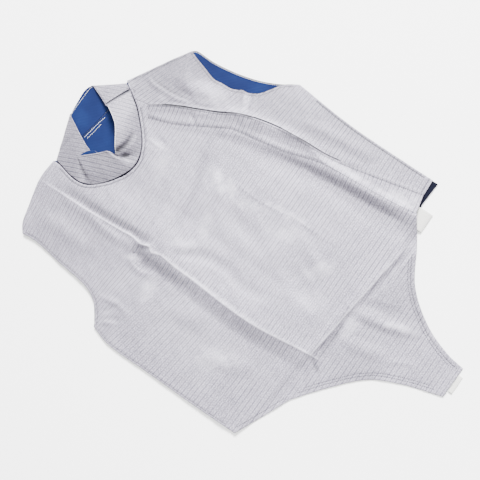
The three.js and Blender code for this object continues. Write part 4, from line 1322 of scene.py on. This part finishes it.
# Shallow creases pressed into the back's underside
UNDERSIDE_CREASES = (
    Crease(((-98, 280, 0), (-94, 180, 0.5), (-90, 60, 0.6), (-96, -60, 0.5),
            (-88, -150, 0)), 20, 9, Form.CREST),
    Crease(((150, 190, 0), (168, 90, 0.4), (170, -20, 0.6), (162, -110, 0.5),
            (168, -185, 0)), 10, 20, Form.CREST),
    Crease(((-190, 100, 0), (-120, 120, 0.4), (-30, 96, 0.5), (60, 118, 0.4), (130, 140, 0)), 18, 14),
    Crease(((-200, -40, 0), (-150, -70, 0.4), (-90, -84, 0)), 16, 12),
    Crease(((30, -150, 0), (60, -90, 0.4), (70, -20, 0.5), (96, 40, 0)), 14, 14),
    Crease(((-40, 250, 0), (-20, 200, 0.4), (20, 160, 0)), 14, 12),
)
CENTRE_BACK = ((-4, 318), (-6, 200), (-4, 60), (-2, -80), (0, -178))

# The collar band, station by station: seam (x, y, z), top edge (x, y, z), bulge between them.
# The front leaf runs from the band's upper end at the wearer's left, past a dimple and a fold over
# itself, to the fold at the wearer's right.
COLLAR_FRONT = (
    (100, 307, 7.9, 59, 321, 20, 1),
    (84, 281, 7.1, 50, 301, 25, 2),
    (66, 261, 5.2, 38, 282, 29, 3),
    (50, 245, 5, 22, 269, 30, 3),
    (33, 232, 5, 9, 261, 27.5, 1.5),
    (20, 226, 5, 0, 257, 20, -2.5),
    (8, 223.5, 5, -5, 260, 17, -1.5),
    (-4, 224.5, 5, -5, 271, 22, 2.5),
    (-17, 229.5, 5, -11, 278, 21.5, 2),
    (-32, 238, 5, -18, 286, 20.5, 2.2),
    (-46, 248.5, 5, -26, 296, 19, 2.6),
    (-56, 258, 5, -33, 305.5, 17.2, 3),
    (-61, 264, 5, -37.4, 311.2, 15.8, 3),
    (-63, 267, 5, -38.2, 312, 14.6, 2),
    (-64, 269, 5, -36, 310.5, 13.6, 1.4),
    (-66, 272, 5, -28, 307, 14.4, 0.8),
    (-67, 274.5, 5, -20, 300.5, 15, 0.2),
    (-68, 277, 5, -15, 292, 14.5, -0.4),
    (-69, 279.5, 5, -16, 286, 13, -1),
    (-69.6, 282, 5, -19, 286, 11.6, -2),
    (-70.4, 286, 5, -20, 293, 11.4, -2.4),
    (-71, 293, 5, -17.5, 304, 13, -1),
    (-70.6, 302, 5, -14, 313, 14.5, 1.5),
    (-70, 310, 5, -10, 322, 15, 2.6),
    (-67, 326, 5, -4, 337, 12.4, 2),
    (-65, 337, 5, 3, 353, 9, 1),
    (-64, 343.5, 4.8, 9, 367, 5.2, 0),
)
# The back leaf lies flat on the floor between the two folds.
COLLAR_BACK = (
    (-63, 346, 3.2, 12, 374, 3.3, 0),
    (-60, 345.5, COLLAR_LIE, 16, 375, COLLAR_LIE, 0),
    (-30, 338, COLLAR_LIE, 30, 377, COLLAR_LIE, 0),
    (2, 331, COLLAR_LIE, 42, 378, COLLAR_LIE, 0),
    (45, 323, COLLAR_LIE, 54, 379, COLLAR_LIE, 0),
    (80, 321, COLLAR_LIE, 62, 378, COLLAR_LIE, 0),
    (103, 322, COLLAR_LIE, 69, 375, COLLAR_LIE, 0),
)
# Past the left fold the band's lower end lies under its upper end.
COLLAR_UNDER = (
    (106.5, 321, 3.1, 72, 369, 3.3, 0),
    (105, 316, 4.5, 70, 361, 5.4, 0),
    (99, 305, 4.3, 62, 338, 9, 1),
    (92, 294, 4, 56, 322, 13, 1),
)
# The band's creases: rows of (station, height above the seam, rise), and the reach to both sides
COLLAR_CREASES = (
    (((4.9, 46, -1.5), (4.4, 36, -2.6), (3.7, 24, -2.4), (3.0, 14, -1.0), (2.8, 8, 0)), 9, 7),
    (((5.3, 32, 0), (5.1, 24, -3.2), (5.0, 15, 0)), 8, 7),
    (((7.0, 46, 1.6), (6.2, 36, 2.2), (5.7, 26, 1.2), (5.4, 18, 0)), 5, 5),
    (((35.6, 1, -1.6), (36.2, 16, -1.8), (36.7, 32, -1.8), (36.9, 40, -1.0)), 4, 5),
    (((26.6, 14, -0.5), (25.7, 28, -0.9), (24.8, 44, -0.9), (24.1, 58, -0.4)), 2.6, 4),
    (((1.3, 40, 0), (1.5, 26, 0.8), (1.8, 12, 0)), 10, 9),
    (((9.0, 44, 0), (9.3, 28, 0.7), (9.6, 14, 0)), 9, 9),
)


@dataclass
class Collar:
    """The stand collar: a silver band with its blue lining, folded over itself at the front."""

    steps: int = 6
    rows: int = 22
    silver_faces: tuple[float, float] = (0.12, 1.1)
    lining_faces: tuple[float, float] = (-0.85, -0.08)
    stripe_turn: float = 20.5  # direction across the stripes, in degrees from X

    def __post_init__(self) -> None:
        """Works out the band's middle layer and its normals."""
        table = np.array(COLLAR_FRONT + COLLAR_BACK + COLLAR_UNDER, float)
        self.stations = len(table)
        seam, top = spline(table[:, :3], self.steps), spline(table[:, 3:6], self.steps)
        bulge = np.interp(np.arange(len(seam)) / self.steps, np.arange(self.stations), table[:, 6])
        inner = np.linspace(0.0, 1.0, self.rows - 1)
        v = np.sort(np.concatenate([inner, [0.015, 0.985]]))
        self.v = v
        mid = seam[:, None] + (top - seam)[:, None] * v[None, :, None]
        mid[..., 2] += bulge[:, None] * 4.0 * v * (1.0 - v)
        mid[..., 2] = np.maximum(mid[..., 2], COLLAR_LIE)
        self.mid = mid
        normal = np.cross(np.gradient(mid, axis=1), np.gradient(mid, axis=0))
        self.normal = normal / np.linalg.norm(normal, axis=2, keepdims=True).clip(1e-9)
        run = np.linalg.norm(np.diff(mid[:, self.rows // 2], axis=0), axis=1)
        self.run = np.concatenate([[0.0], np.cumsum(run)])
        self.rise = np.linalg.norm(top - seam, axis=1)
        relief = self._relief()
        # Painted shade on the band: a little all over, more in its troughs.
        self.soil = 0.28 + 0.26 * np.clip(-relief - 0.3, 0.0, 2.0)
        self.mid = mid + self.normal * relief[..., None]
        self.mid[..., 2] = np.maximum(self.mid[..., 2], COLLAR_LIE)

    def surface(self, away: float) -> np.ndarray:
        """The middle layer moved outwards."""
        return self.mid + self.normal * away

    def layer(self, near: float, far: float, peek: float) -> MeshData:
        """A closed shell between two distances outwards of the middle layer.

        Args:
            near: Distance of its inner face.
            far: Distance of its outer face.
            peek: How far it stands out at the band's upper end, as a share of its first cell.

        Returns:
            The shell.
        """
        edge = np.minimum(self.v, 1.0 - self.v)[None, :] * self.rise[:, None]
        round_off = 0.3 * (far - near) * smooth(1.0 - edge / 0.7)
        low = self.mid + self.normal * (near + round_off)[..., None]
        high = self.mid + self.normal * (far - round_off)[..., None]
        low[..., 2], high[..., 2] = np.maximum(low[..., 2], OFF_FLOOR), np.maximum(high[..., 2], OFF_FLOOR)
        data = grid_shell(low, high, mirrored=True)
        number = np.arange(low[..., 0].size).reshape(low.shape[:2])
        lift, points = number.size, data.points
        turn = math.radians(self.stripe_turn)
        x, y = points[:, 0], points[:, 1]
        data.uv = np.column_stack([
            y * math.cos(turn) - x * math.sin(turn), x * math.cos(turn) + y * math.sin(turn)])
        data.wear_and_painted_light = -np.tile(self.soil.ravel(), 2)
        # A painted shadow line along the band's upper end edge.
        data.wear_and_painted_light[number[0]] = data.wear_and_painted_light[number[0] + lift] = -0.9
        # Where the lining stands out at the band's end, it turns near-black: a painted shadow line.
        if peek:
            for end, second in ((number[0], number[1]), (number[0] + lift, number[1] + lift)):
                points[end] += (points[end] - points[second]) * peek
                data.wear_and_painted_light[end] = data.wear_and_painted_light[second] = 1.0
        return data

    def build(self) -> None:
        for name, faces, peek, finish, slot, node in (
            ("collar_band_cloth", self.silver_faces, 0.0, Finish.SILVER, "silver_cloth", "collar_band"),
            ("collar_lining_cloth", self.lining_faces, 0.5, Finish.LINING, "blue_lining", "collar_lining"),
        ):
            piece = self.layer(*faces, peek).made(name, finish)
            report(piece, slot, node)

    def edge_row(self, inset: float, away: float, first: float, last: float, low: bool = False) -> np.ndarray:
        """A line on the band, parallel to its top edge or its seam.

        Args:
            inset: Distance below the top edge.
            away: Distance outwards of the middle layer.
            first: Station where the line starts.
            last: Station where it ends.
            low: Whether the distance is measured from the seam.

        Returns:
            The line's points.
        """
        sheet = self.surface(away)
        picked = range(round(first * self.steps), round(last * self.steps) + 1)
        shares = inset / self.rise if low else 1.0 - inset / self.rise
        return np.array([
            [np.interp(shares[i], self.v, sheet[i, :, axis]) for axis in range(3)] for i in picked
        ])

    def _relief(self) -> np.ndarray:
        """Small creases of the band, outwards of its middle layer."""
        along = np.repeat(self.run[:, None], len(self.v), axis=1)
        across = self.v[None, :] * self.rise[:, None]
        flat_x, flat_y = along.ravel(), across.ravel()
        creases = [
            Crease(tuple((self.run[round(at * self.steps)], up, rise) for at, up, rise in rows), *reach)
            for rows, *reach in COLLAR_CREASES
        ]
        total = sum(c.at(flat_x, flat_y) for c in creases)
        total = total + 0.22 * wander(flat_x, flat_y, 26.0, 41) + 0.1 * wander(flat_x, flat_y, 11.0, 42)
        total = total - 0.3 * np.exp(-(((flat_y - 3.0) / 1.4) ** 2))
        flat_part = (self.mid[:, :, 2] <= COLLAR_LIE + 0.2).all(axis=1)[:, None]
        return np.where(flat_part, 0.0, total.reshape(along.shape))


class ThreadWork:
    """Makes rows of stitches with one Geometry Nodes tree."""

    length = 2.5

    def __init__(self) -> None:
        """Builds the tree once."""
        self.tree = bead_tree("row of stitches", 6, 4)

    def sew(
        self,
        name: str,
        rows: list[np.ndarray],
        finish: Finish,
        slot: str,
        radius: float = 0.5,
        pitch: float = 3.1,
    ) -> bpy.types.Object:
        """Makes one piece of stitches along several lines.

        Args:
            name: The piece's name.
            rows: Lines of points, each already on its cloth.
            finish: The thread.
            slot: A slot name; it is not used.
            radius: The thread's; the real one is about 0.2 mm, drawn thicker so that it shows.
            pitch: From stitch to stitch; below the stitch's length they join to a cord.

        Returns:
            The finished piece.
        """
        sizes = {"Pitch": pitch, "Across": radius, "Up": radius, "Along": self.length / 2}
        return beads(self.tree, name, rows, sizes, finish, slot)


def bead_tree(name: str, segments: int, rings: int) -> Tree:
    """A Geometry Nodes tree that sets a small ball at each pitch of its lines, turned along them.

    Args:
        name: The tree's name.
        segments: Sides of the ball.
        rings: Rings of the ball.

    Returns:
        The tree: its inputs are the lines, the pitch, half the ball's three sizes and a material.
    """
    tree = bpy.data.node_groups.new(name, "GeometryNodeTree")
    tree.interface.new_socket("Geometry", in_out="INPUT", socket_type="NodeSocketGeometry")
    for label in ("Pitch", "Across", "Up", "Along"):
        tree.interface.new_socket(label, in_out="INPUT", socket_type="NodeSocketFloat")
    tree.interface.new_socket("Material", in_out="INPUT", socket_type="NodeSocketMaterial")
    tree.interface.new_socket("Geometry", in_out="OUTPUT", socket_type="NodeSocketGeometry")
    given = add_node(tree, "NodeGroupInput").outputs
    line = add_node(tree, "GeometryNodeMeshToCurve", {"Mesh": given["Geometry"]}).outputs[0]
    spaced = {"Curve": line, "Length": given["Pitch"]}
    even = add_node(tree, "GeometryNodeResampleCurve", spaced, mode="LENGTH").outputs[0]
    shape = {"Segments": segments, "Rings": rings, "Radius": 1.0}
    ball = add_node(tree, "GeometryNodeMeshUVSphere", shape).outputs[0]
    sizes = {0: given["Across"], 1: given["Up"], 2: given["Along"]}
    size = add_node(tree, "ShaderNodeCombineXYZ", sizes).outputs[0]
    ahead = add_node(tree, "GeometryNodeInputTangent").outputs[0]
    turn = add_node(tree, "FunctionNodeAlignRotationToVector", {"Vector": ahead}, axis="Z").outputs[0]
    spread = {"Points": even, "Instance": ball, "Rotation": turn, "Scale": size}
    made = add_node(tree, "GeometryNodeInstanceOnPoints", spread).outputs[0]
    made = add_node(tree, "GeometryNodeRealizeInstances", {"Geometry": made}).outputs[0]
    made = add_node(tree, "GeometryNodeSetShadeSmooth", {"Geometry": made}).outputs[0]
    dressed = {"Geometry": made, "Material": given["Material"]}
    made = add_node(tree, "GeometryNodeSetMaterial", dressed).outputs[0]
    add_node(tree, "NodeGroupOutput", {0: made})
    return tree


def beads(
    tree: Tree, name: str, rows: list[np.ndarray], sizes: dict[str, float], finish: Finish, slot: str
) -> bpy.types.Object:
    """Runs a bead tree on lines of points and keeps the result as a plain mesh.

    Args:
        tree: The tree, from bead_tree.
        name: The finished piece's name.
        rows: The lines' points.
        sizes: The tree's sizes by name, in millimetres.
        finish: The material that the tree sets.
        slot: A slot name; it is not used.

    Returns:
        The finished piece.
    """
    points, edges = [], []
    for row in rows:
        first = len(points)
        points += (row * MM).tolist()
        edges += [(first + i, first + i + 1) for i in range(len(row) - 1)]
    lines = bpy.data.meshes.new(name + "_guide")
    lines.from_pydata(points, edges, [])
    guide = linked(name + "_guide", lines)
    modifier = guide.modifiers.new("nodes", "NODES")
    modifier.node_group = tree
    values = {label: size * MM for label, size in sizes.items()} | {"Material": finish.built()}
    for item in tree.interface.items_tree:
        if item.in_out == "INPUT" and item.name in values:
            modifier[item.identifier] = values[item.name]
    bpy.context.view_layer.update()
    evaluated = guide.evaluated_get(bpy.context.evaluated_depsgraph_get())
    mesh = bpy.data.meshes.new_from_object(evaluated)
    mesh.name = name
    bpy.data.objects.remove(guide)
    if finish.built().name not in mesh.materials:
        mesh.materials.clear()
        mesh.materials.append(finish.built())
    return report(linked(name, mesh), slot)


# The slider's boxes, (sizes, middle): its two plates, the post between them, the bridge and the tab
SLIDER_BOXES = (
    ((5.0, 10.0, 1.0), (0.0, 0.0, 0.55)),
    ((5.2, 9.6, 1.0), (0.0, 0.0, 2.0)),
    ((1.8, 2.4, 2.0), (0.0, 3.4, 1.3)),
    ((1.4, 6.0, 0.7), (0.0, -0.6, 2.7)),
    ((11.6, 4.0, 0.9), (6.2, 0.0, 2.3)),
)


@dataclass
class Zip:
    """The zip under the flap: its tape, its coil and its slider.

    Attributes:
        lie: The heights of the fronts over it.
        tape_half: Half the width of both tapes together.
        tape_length: The tape's whole length; it is not used.
        tape_wall: The tape's thickness.
        top: The y of its upper end.
        chain_top: The y of the coil's upper end.
        foot: The y of its lower end.
        coil_pitch: From loop to loop.
        coil_half: How far each row of loops lies from the middle.
        loop: Half a loop's sizes across, up and along.
        slider_place: The slider's x and y.
        slider_turn: Its turn in radians.
    """

    lie: FrontLie
    tape_half: float = 12.0
    tape_length: float = 450.0
    tape_wall: float = 0.5
    top: float = 247.0
    chain_top: float = 233.0
    foot: float = -186.0
    coil_pitch: float = 2.2
    coil_half: float = 1.25
    loop: tuple[float, float, float] = (1.3, 0.8, 0.8)
    slider_place: tuple[float, float] = (99.7, 239.0)
    slider_turn: float = 0.18

    def build(self) -> None:
        """Makes the tape, the coil and the slider."""
        line = resample(spline(PARTING, 8)[:, :2], 3.0)
        line = line[(line[:, 1] <= self.top) & (line[:, 1] >= self.foot)]
        tape = self._tape(line)
        self._coil(line[line[:, 1] <= self.chain_top])
        slider = self._slider()

    def _tape(self, line: np.ndarray) -> bpy.types.Object:
        """The woven tape, just under the fronts."""
        shares = np.linspace(-1.0, 1.0, 13)
        sheets = [offset(line, -s * self.tape_half) for s in shares]
        x, y = np.stack(sheets, axis=2).transpose(1, 0, 2)
        high = self.lie.under(x.ravel(), y.ravel()).reshape(x.shape) - GAP
        low = high - self.tape_wall
        data = grid_shell(np.stack([x, y, low], axis=2), np.stack([x, y, high], axis=2))
        return report(data.made("zip_tape_cloth", Finish.TAPE), "zip_tape", "zip")

    def _coil(self, line: np.ndarray) -> None:
        """The two rows of coil loops along the tape's middle, half a pitch apart."""
        rows = []
        for side, shift in ((-1.0, 0.0), (1.0, 0.5)):
            row = offset(line, side * self.coil_half)
            places = np.column_stack([row, self.lie.under(row[:, 0], row[:, 1]) + 0.4])
            places = resample(places, self.coil_pitch)
            places[:, 1] += shift * self.coil_pitch
            rows.append(places)
        sizes = {"Pitch": self.coil_pitch, **dict(zip(("Across", "Up", "Along"), self.loop))}
        beads(bead_tree("zip coil", 8, 5), "zip_coil", rows, sizes, Finish.COIL, "zip_tape")

    def _slider(self) -> bpy.types.Object:
        """The slider: a domed body with a bridge, and a flat tab whose tip shows past the flap."""
        x, y = self.slider_place
        z = float(self.lie.under(np.array([x]), np.array([y]))[0])
        shape = bmesh.new()
        for size, place in SLIDER_BOXES:
            made = bmesh.ops.create_cube(shape, size=1.0)
            bmesh.ops.scale(shape, vec=size, verts=made["verts"])
            bmesh.ops.translate(shape, vec=place, verts=made["verts"])
        bmesh.ops.bevel(
            shape, geom=list(shape.edges), offset=0.28, segments=3, profile=0.6, affect="EDGES",
            clamp_overlap=True)
        place = Matrix.Translation((x, y, z)) @ Matrix.Rotation(self.slider_turn, 4, "Z")
        bmesh.ops.transform(shape, matrix=Matrix.Scale(MM, 4) @ place, verts=shape.verts)
        mesh = bpy.data.meshes.new("zip_slider_body")
        shape.to_mesh(mesh)
        shape.free()
        mesh.materials.append(Finish.SLIDER.built())
        mesh.polygons.foreach_set("use_smooth", np.ones(len(mesh.polygons), bool))
        return report(linked("zip_slider_body", mesh), "dark_metal", "zip_slider")


def grid_shell(low: np.ndarray, high: np.ndarray, mirrored: bool = False) -> MeshData:
    """A closed shell between two grids of points.

    Args:
        low: The inner grid; seen from outside, its columns run right and its rows run down.
        high: The outer grid.
        mirrored: Whether the rows run up instead.

    Returns:
        The shell, the inner grid's points first.
    """
    number = np.arange(low[..., 0].size).reshape(low.shape[:2])
    lift = number.size
    a, b, c, d = number[:-1, :-1], number[1:, :-1], number[1:, 1:], number[:-1, 1:]
    if mirrored:
        b, d = d, b
    faces = np.stack([a, b, c, d], axis=-1).reshape(-1, 4)
    edges = []
    for line, flip in ((number[0], True), (number[-1], False), (number[:, 0], False), (number[:, -1], True)):
        p, q = (line[1:], line[:-1]) if flip != mirrored else (line[:-1], line[1:])
        edges.append(np.stack([p, q, q + lift, p + lift], axis=-1))
    points = np.vstack([low.reshape(-1, 3), high.reshape(-1, 3)])
    return MeshData(points, np.vstack([faces + lift, faces[:, ::-1], *edges]).tolist())


@dataclass(frozen=True)
class ElasticLoop:
    """A loop of white elastic, folded back on itself at its outer end.

    Attributes:
        name: The piece's name.
        node: The solid that it stands for.
        right: Its edge at the wearer's right.
        left: Its edge at the wearer's left.
        run: Rows of (y, z) of the middle of the webbing, out along the top and back below.
        wall: The webbing's thickness.
    """

    name: str
    node: str
    right: float
    left: float
    run: Rows
    wall: float = 0.6

    def build(self) -> None:
        path = spline(self.run, 5)
        ahead = np.gradient(path, axis=0)
        ahead /= np.linalg.norm(ahead, axis=1, keepdims=True).clip(1e-9)
        up = np.column_stack([ahead[:, 1], -ahead[:, 0]])
        x = np.linspace(self.right, self.left, 15)
        wave = 0.12 * np.sin(np.linspace(0.0, 3.0 * math.pi, len(x)))
        sides = []
        for away in (-self.wall / 2, self.wall / 2):
            moved = path + up * away
            grid = np.zeros((len(path), len(x), 3))
            grid[..., 0] = x[None, :]
            grid[..., 1] = moved[:, :1] + wave[None, :]
            grid[..., 2] = np.maximum(moved[:, 1:], OFF_FLOOR)
            sides.append(grid)
        piece = grid_shell(*sides).made(self.name, Finish.ELASTIC)
        report(piece, "white_elastic", self.node)


HIP_LOOP = ElasticLoop(
    "hip_elastic_loop", "hip_elastic", 158.0, 189.0,
    ((-186, 3.7), (-196, 3.7), (-202, 3.8), (-207, 3.7), (-211, 3.2), (-214, 2.3), (-215.6, 1.2),
     (-214, 0.45), (-210, 0.33), (-206.5, 0.33)),
)
GROIN_LOOP = ElasticLoop(
    "groin_elastic_loop", "groin_elastic", -12.0, 16.0,
    ((-372.6, 1.05), (-375, 1.04), (-377.6, 1.0), (-378.6, 0.68), (-377.6, 0.36), (-375, 0.33),
     (-372.6, 0.33)),
)


@dataclass
class Studio:
    """The pale floor, the soft lights and the camera at the photograph's angle.

    Attributes:
        target: The point that the camera looks at.
        distance: From the camera to it.
        heading: Degrees that the camera stands off the wearer's middle line.
        tilt: Degrees off straight down.
        roll: Degrees that it is turned about its own axis.
        lens: Focal length for a 36 mm sensor.
        sky: Strength of the even white light from all round.
        floor_half: Half the floor's side.
        floor_depth: How far it lies under the cloth.
    """

    target: tuple[float, float, float] = (-1.0, 7.0, 0.0)
    distance: float = 1240.0
    heading: float = 2.8
    tilt: float = 16.38
    roll: float = 37.3
    lens: float = 60.0
    sky: float = 0.95
    floor_half: float = 4000.0
    floor_depth: float = 0.3

    def build(self) -> None:
        """Makes the camera, the floor and the lights."""
        self._camera()
        self._floor()
        self._light("key", (3.5, 1.8, 3.3), 1.7, 1600.0)
        self._light("fill", (-0.1, -0.45, 1.4), 1.2, 36.0)
        world = bpy.data.worlds.new("studio")
        world.use_nodes = True
        background = world.node_tree.nodes["Background"]
        background.inputs[0].default_value = (1.0, 1.0, 1.0, 1.0)
        background.inputs[1].default_value = self.sky
        bpy.context.scene.world = world

    def _camera(self) -> None:
        """Places the camera by its heading, tilt and roll round the target."""
        heading, tilt, roll = (math.radians(a) for a in (self.heading, self.tilt, self.roll))
        foot = Vector((-math.sin(heading), -math.cos(heading), 0.0))
        side = Vector((-math.cos(heading), math.sin(heading), 0.0))
        up = Vector((0.0, 0.0, 1.0))
        down_image = foot * math.cos(tilt) - up * math.sin(tilt)
        right = down_image * math.cos(roll) - side * math.sin(roll)
        above = -(down_image * math.sin(roll) + side * math.cos(roll))
        back = foot * math.sin(tilt) + up * math.cos(tilt)
        turn = Matrix((right, above, back)).transposed()
        data = bpy.data.cameras.new("camera")
        data.lens, data.sensor_width = self.lens, 36.0
        data.clip_start, data.clip_end = 0.05, 20.0
        camera = linked("camera", data)
        place = (Vector(self.target) + back * self.distance) * MM
        camera.matrix_world = Matrix.Translation(place) @ turn.to_4x4()
        bpy.context.scene.camera = camera

    def _floor(self) -> None:
        """A large matt white floor, a hair under the cloth."""
        half = self.floor_half
        square = ((-half, -half), (half, -half), (half, half), (-half, half))
        corners = np.array([(x, y, -self.floor_depth) for x, y in square])
        floor = MeshData(corners, [(0, 1, 2, 3)]).made("floor")
        material, tree = blank_material("matt white paper")
        grain = noise(tree, object_place(tree), 300.0)
        finish_surface(tree, grain, 0.02, {"Base Color": linear("#fcfcfc"), "Roughness": 0.95})
        floor.data.materials.append(material)

    def _light(self, name: str, place: tuple[float, float, float], size: float, power: float) -> None:
        """A square area light that looks at the middle of the garment."""
        data = bpy.data.lights.new(name, "AREA")
        data.shape, data.size, data.energy = "SQUARE", size, power
        light = linked(name, data)
        light.location = place
        light.rotation_euler = (-Vector(place)).to_track_quat("-Z", "Y").to_euler()


def laid(panel: Panel, line: np.ndarray, above: float = 0.1) -> np.ndarray:
    """A plan line as points just above a panel."""
    even = resample(line, 1.5)
    return np.column_stack([even, panel.top(even[:, 0], even[:, 1]) + above])


def sew_all(fronts: Fronts, lining: Panel, collar: Collar) -> None:
    """Makes every row of stitches."""
    thread = ThreadWork()
    grey, white = Finish.GREY_THREAD, Finish.WHITE_THREAD
    for panel in (fronts.main, fronts.left, fronts.flap):
        rows = [laid(panel, row.line) for row in panel.stitches]
        thread.sew(panel.name.replace("_cloth", "_stitches"), rows, grey, "silver_cloth")
    rows = [laid(lining, row.line) for row in lining.stitches]
    thread.sew("lining_stitches", rows, white, "blue_lining", 0.35)
    outside, inside_face = collar.silver_faces[1] + 0.08, collar.lining_faces[0] - 0.08
    back = len(COLLAR_FRONT)
    last = collar.stations - 1
    rows = [collar.edge_row(2.4, outside, 5.6, 11.0), collar.edge_row(2.4, outside, 21.5, back - 1.0)]
    rows += [collar.edge_row(2.6, outside, back + 7.0, last - 0.2)]
    thread.sew("collar_band_stitches", rows, grey, "silver_cloth")
    thread.sew("collar_edge_stitches", [collar.edge_row(0.9, outside, 0.3, 4.7)], white, "silver_cloth")
    rows = [collar.edge_row(2.2, inside_face, 0.2, 4.6)]
    rows += [collar.edge_row(5.6, inside_face, back + 1.0, back + 6.0)]
    thread.sew("collar_lining_stitches", rows, white, "blue_lining", 0.3)
    sew_shadow_cords(thread, fronts, lining, collar)


# Dark cords of painted shadow along the flap's free edge: name, stretches of (first point, last, height above
# the cloth), radius
FLAP_SHADOW_CORDS = (
    ("flap_shadow_cord", ((7, 13, 0.8), (23, 28, 0.8)), 0.7),
    ("flap_shadow_cord_thick", ((12, 24, 1.2), (35, 45, 1.0)), 1.15),
    ("flap_shadow_cord_low", ((27, 36, 0.6), (44, 64, 0.6)), 0.6),
)
SHADOW_CORD_PITCH = 1.6


def sew_shadow_cords(thread: ThreadWork, fronts: Fronts, lining: Panel, collar: Collar) -> None:
    """Makes dark cords of painted shadow along the cut edges and the flap's free edge, thicker where the
    shade is deeper.
    """
    free = offset(spline(np.array(FLAP, float)[:, 2:], 10), 1.7)
    armhole = offset(spline(FRONT_ARMHOLE_LEFT, 8), 0.4)[3:-2]
    back_armhole = offset(spline(BACK_ARMHOLE_LEFT, 8), 0.3)[1:-1]
    flap = [
        (name, [laid(fronts.left, free[first:last], above) for first, last, above in parts], radius)
        for name, parts, radius in FLAP_SHADOW_CORDS
    ]
    for name, rows, radius in (
        *flap,
        ("armhole_shadow_cord", [laid(fronts.left, armhole, -0.2)], 0.4),
        ("lining_shadow_cord", [laid(lining, back_armhole, 0.2)], 0.45),
        ("collar_end_shadow_cord", [collar.surface(collar.silver_faces[1] + 0.1)[0]], 0.5),
        ("collar_seam_shadow_cord", [collar.edge_row(0.6, collar.silver_faces[1], 0.4, 19.5, low=True)], 0.4),
    ):
        thread.sew(name, rows, Finish.SHADOW_CORD, "silver_cloth", radius, SHADOW_CORD_PITCH)


def main() -> None:
    """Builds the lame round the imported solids, piece by piece."""
    logging.basicConfig(level=logging.INFO, format="%(name)s: %(message)s")
    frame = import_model()
    LOG.info("%d solids in the frame", len(frame["nodes"]))
    Studio().build()
    lie = FrontLie()
    lining = Back().build()
    fronts = Fronts(lie)
    fronts.build()
    collar = Collar()
    collar.build()
    Zip(lie).build()
    HIP_LOOP.build()
    GROIN_LOOP.build()
    sew_all(fronts, lining, collar)
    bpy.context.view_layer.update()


if __name__ == "__main__":
    main()
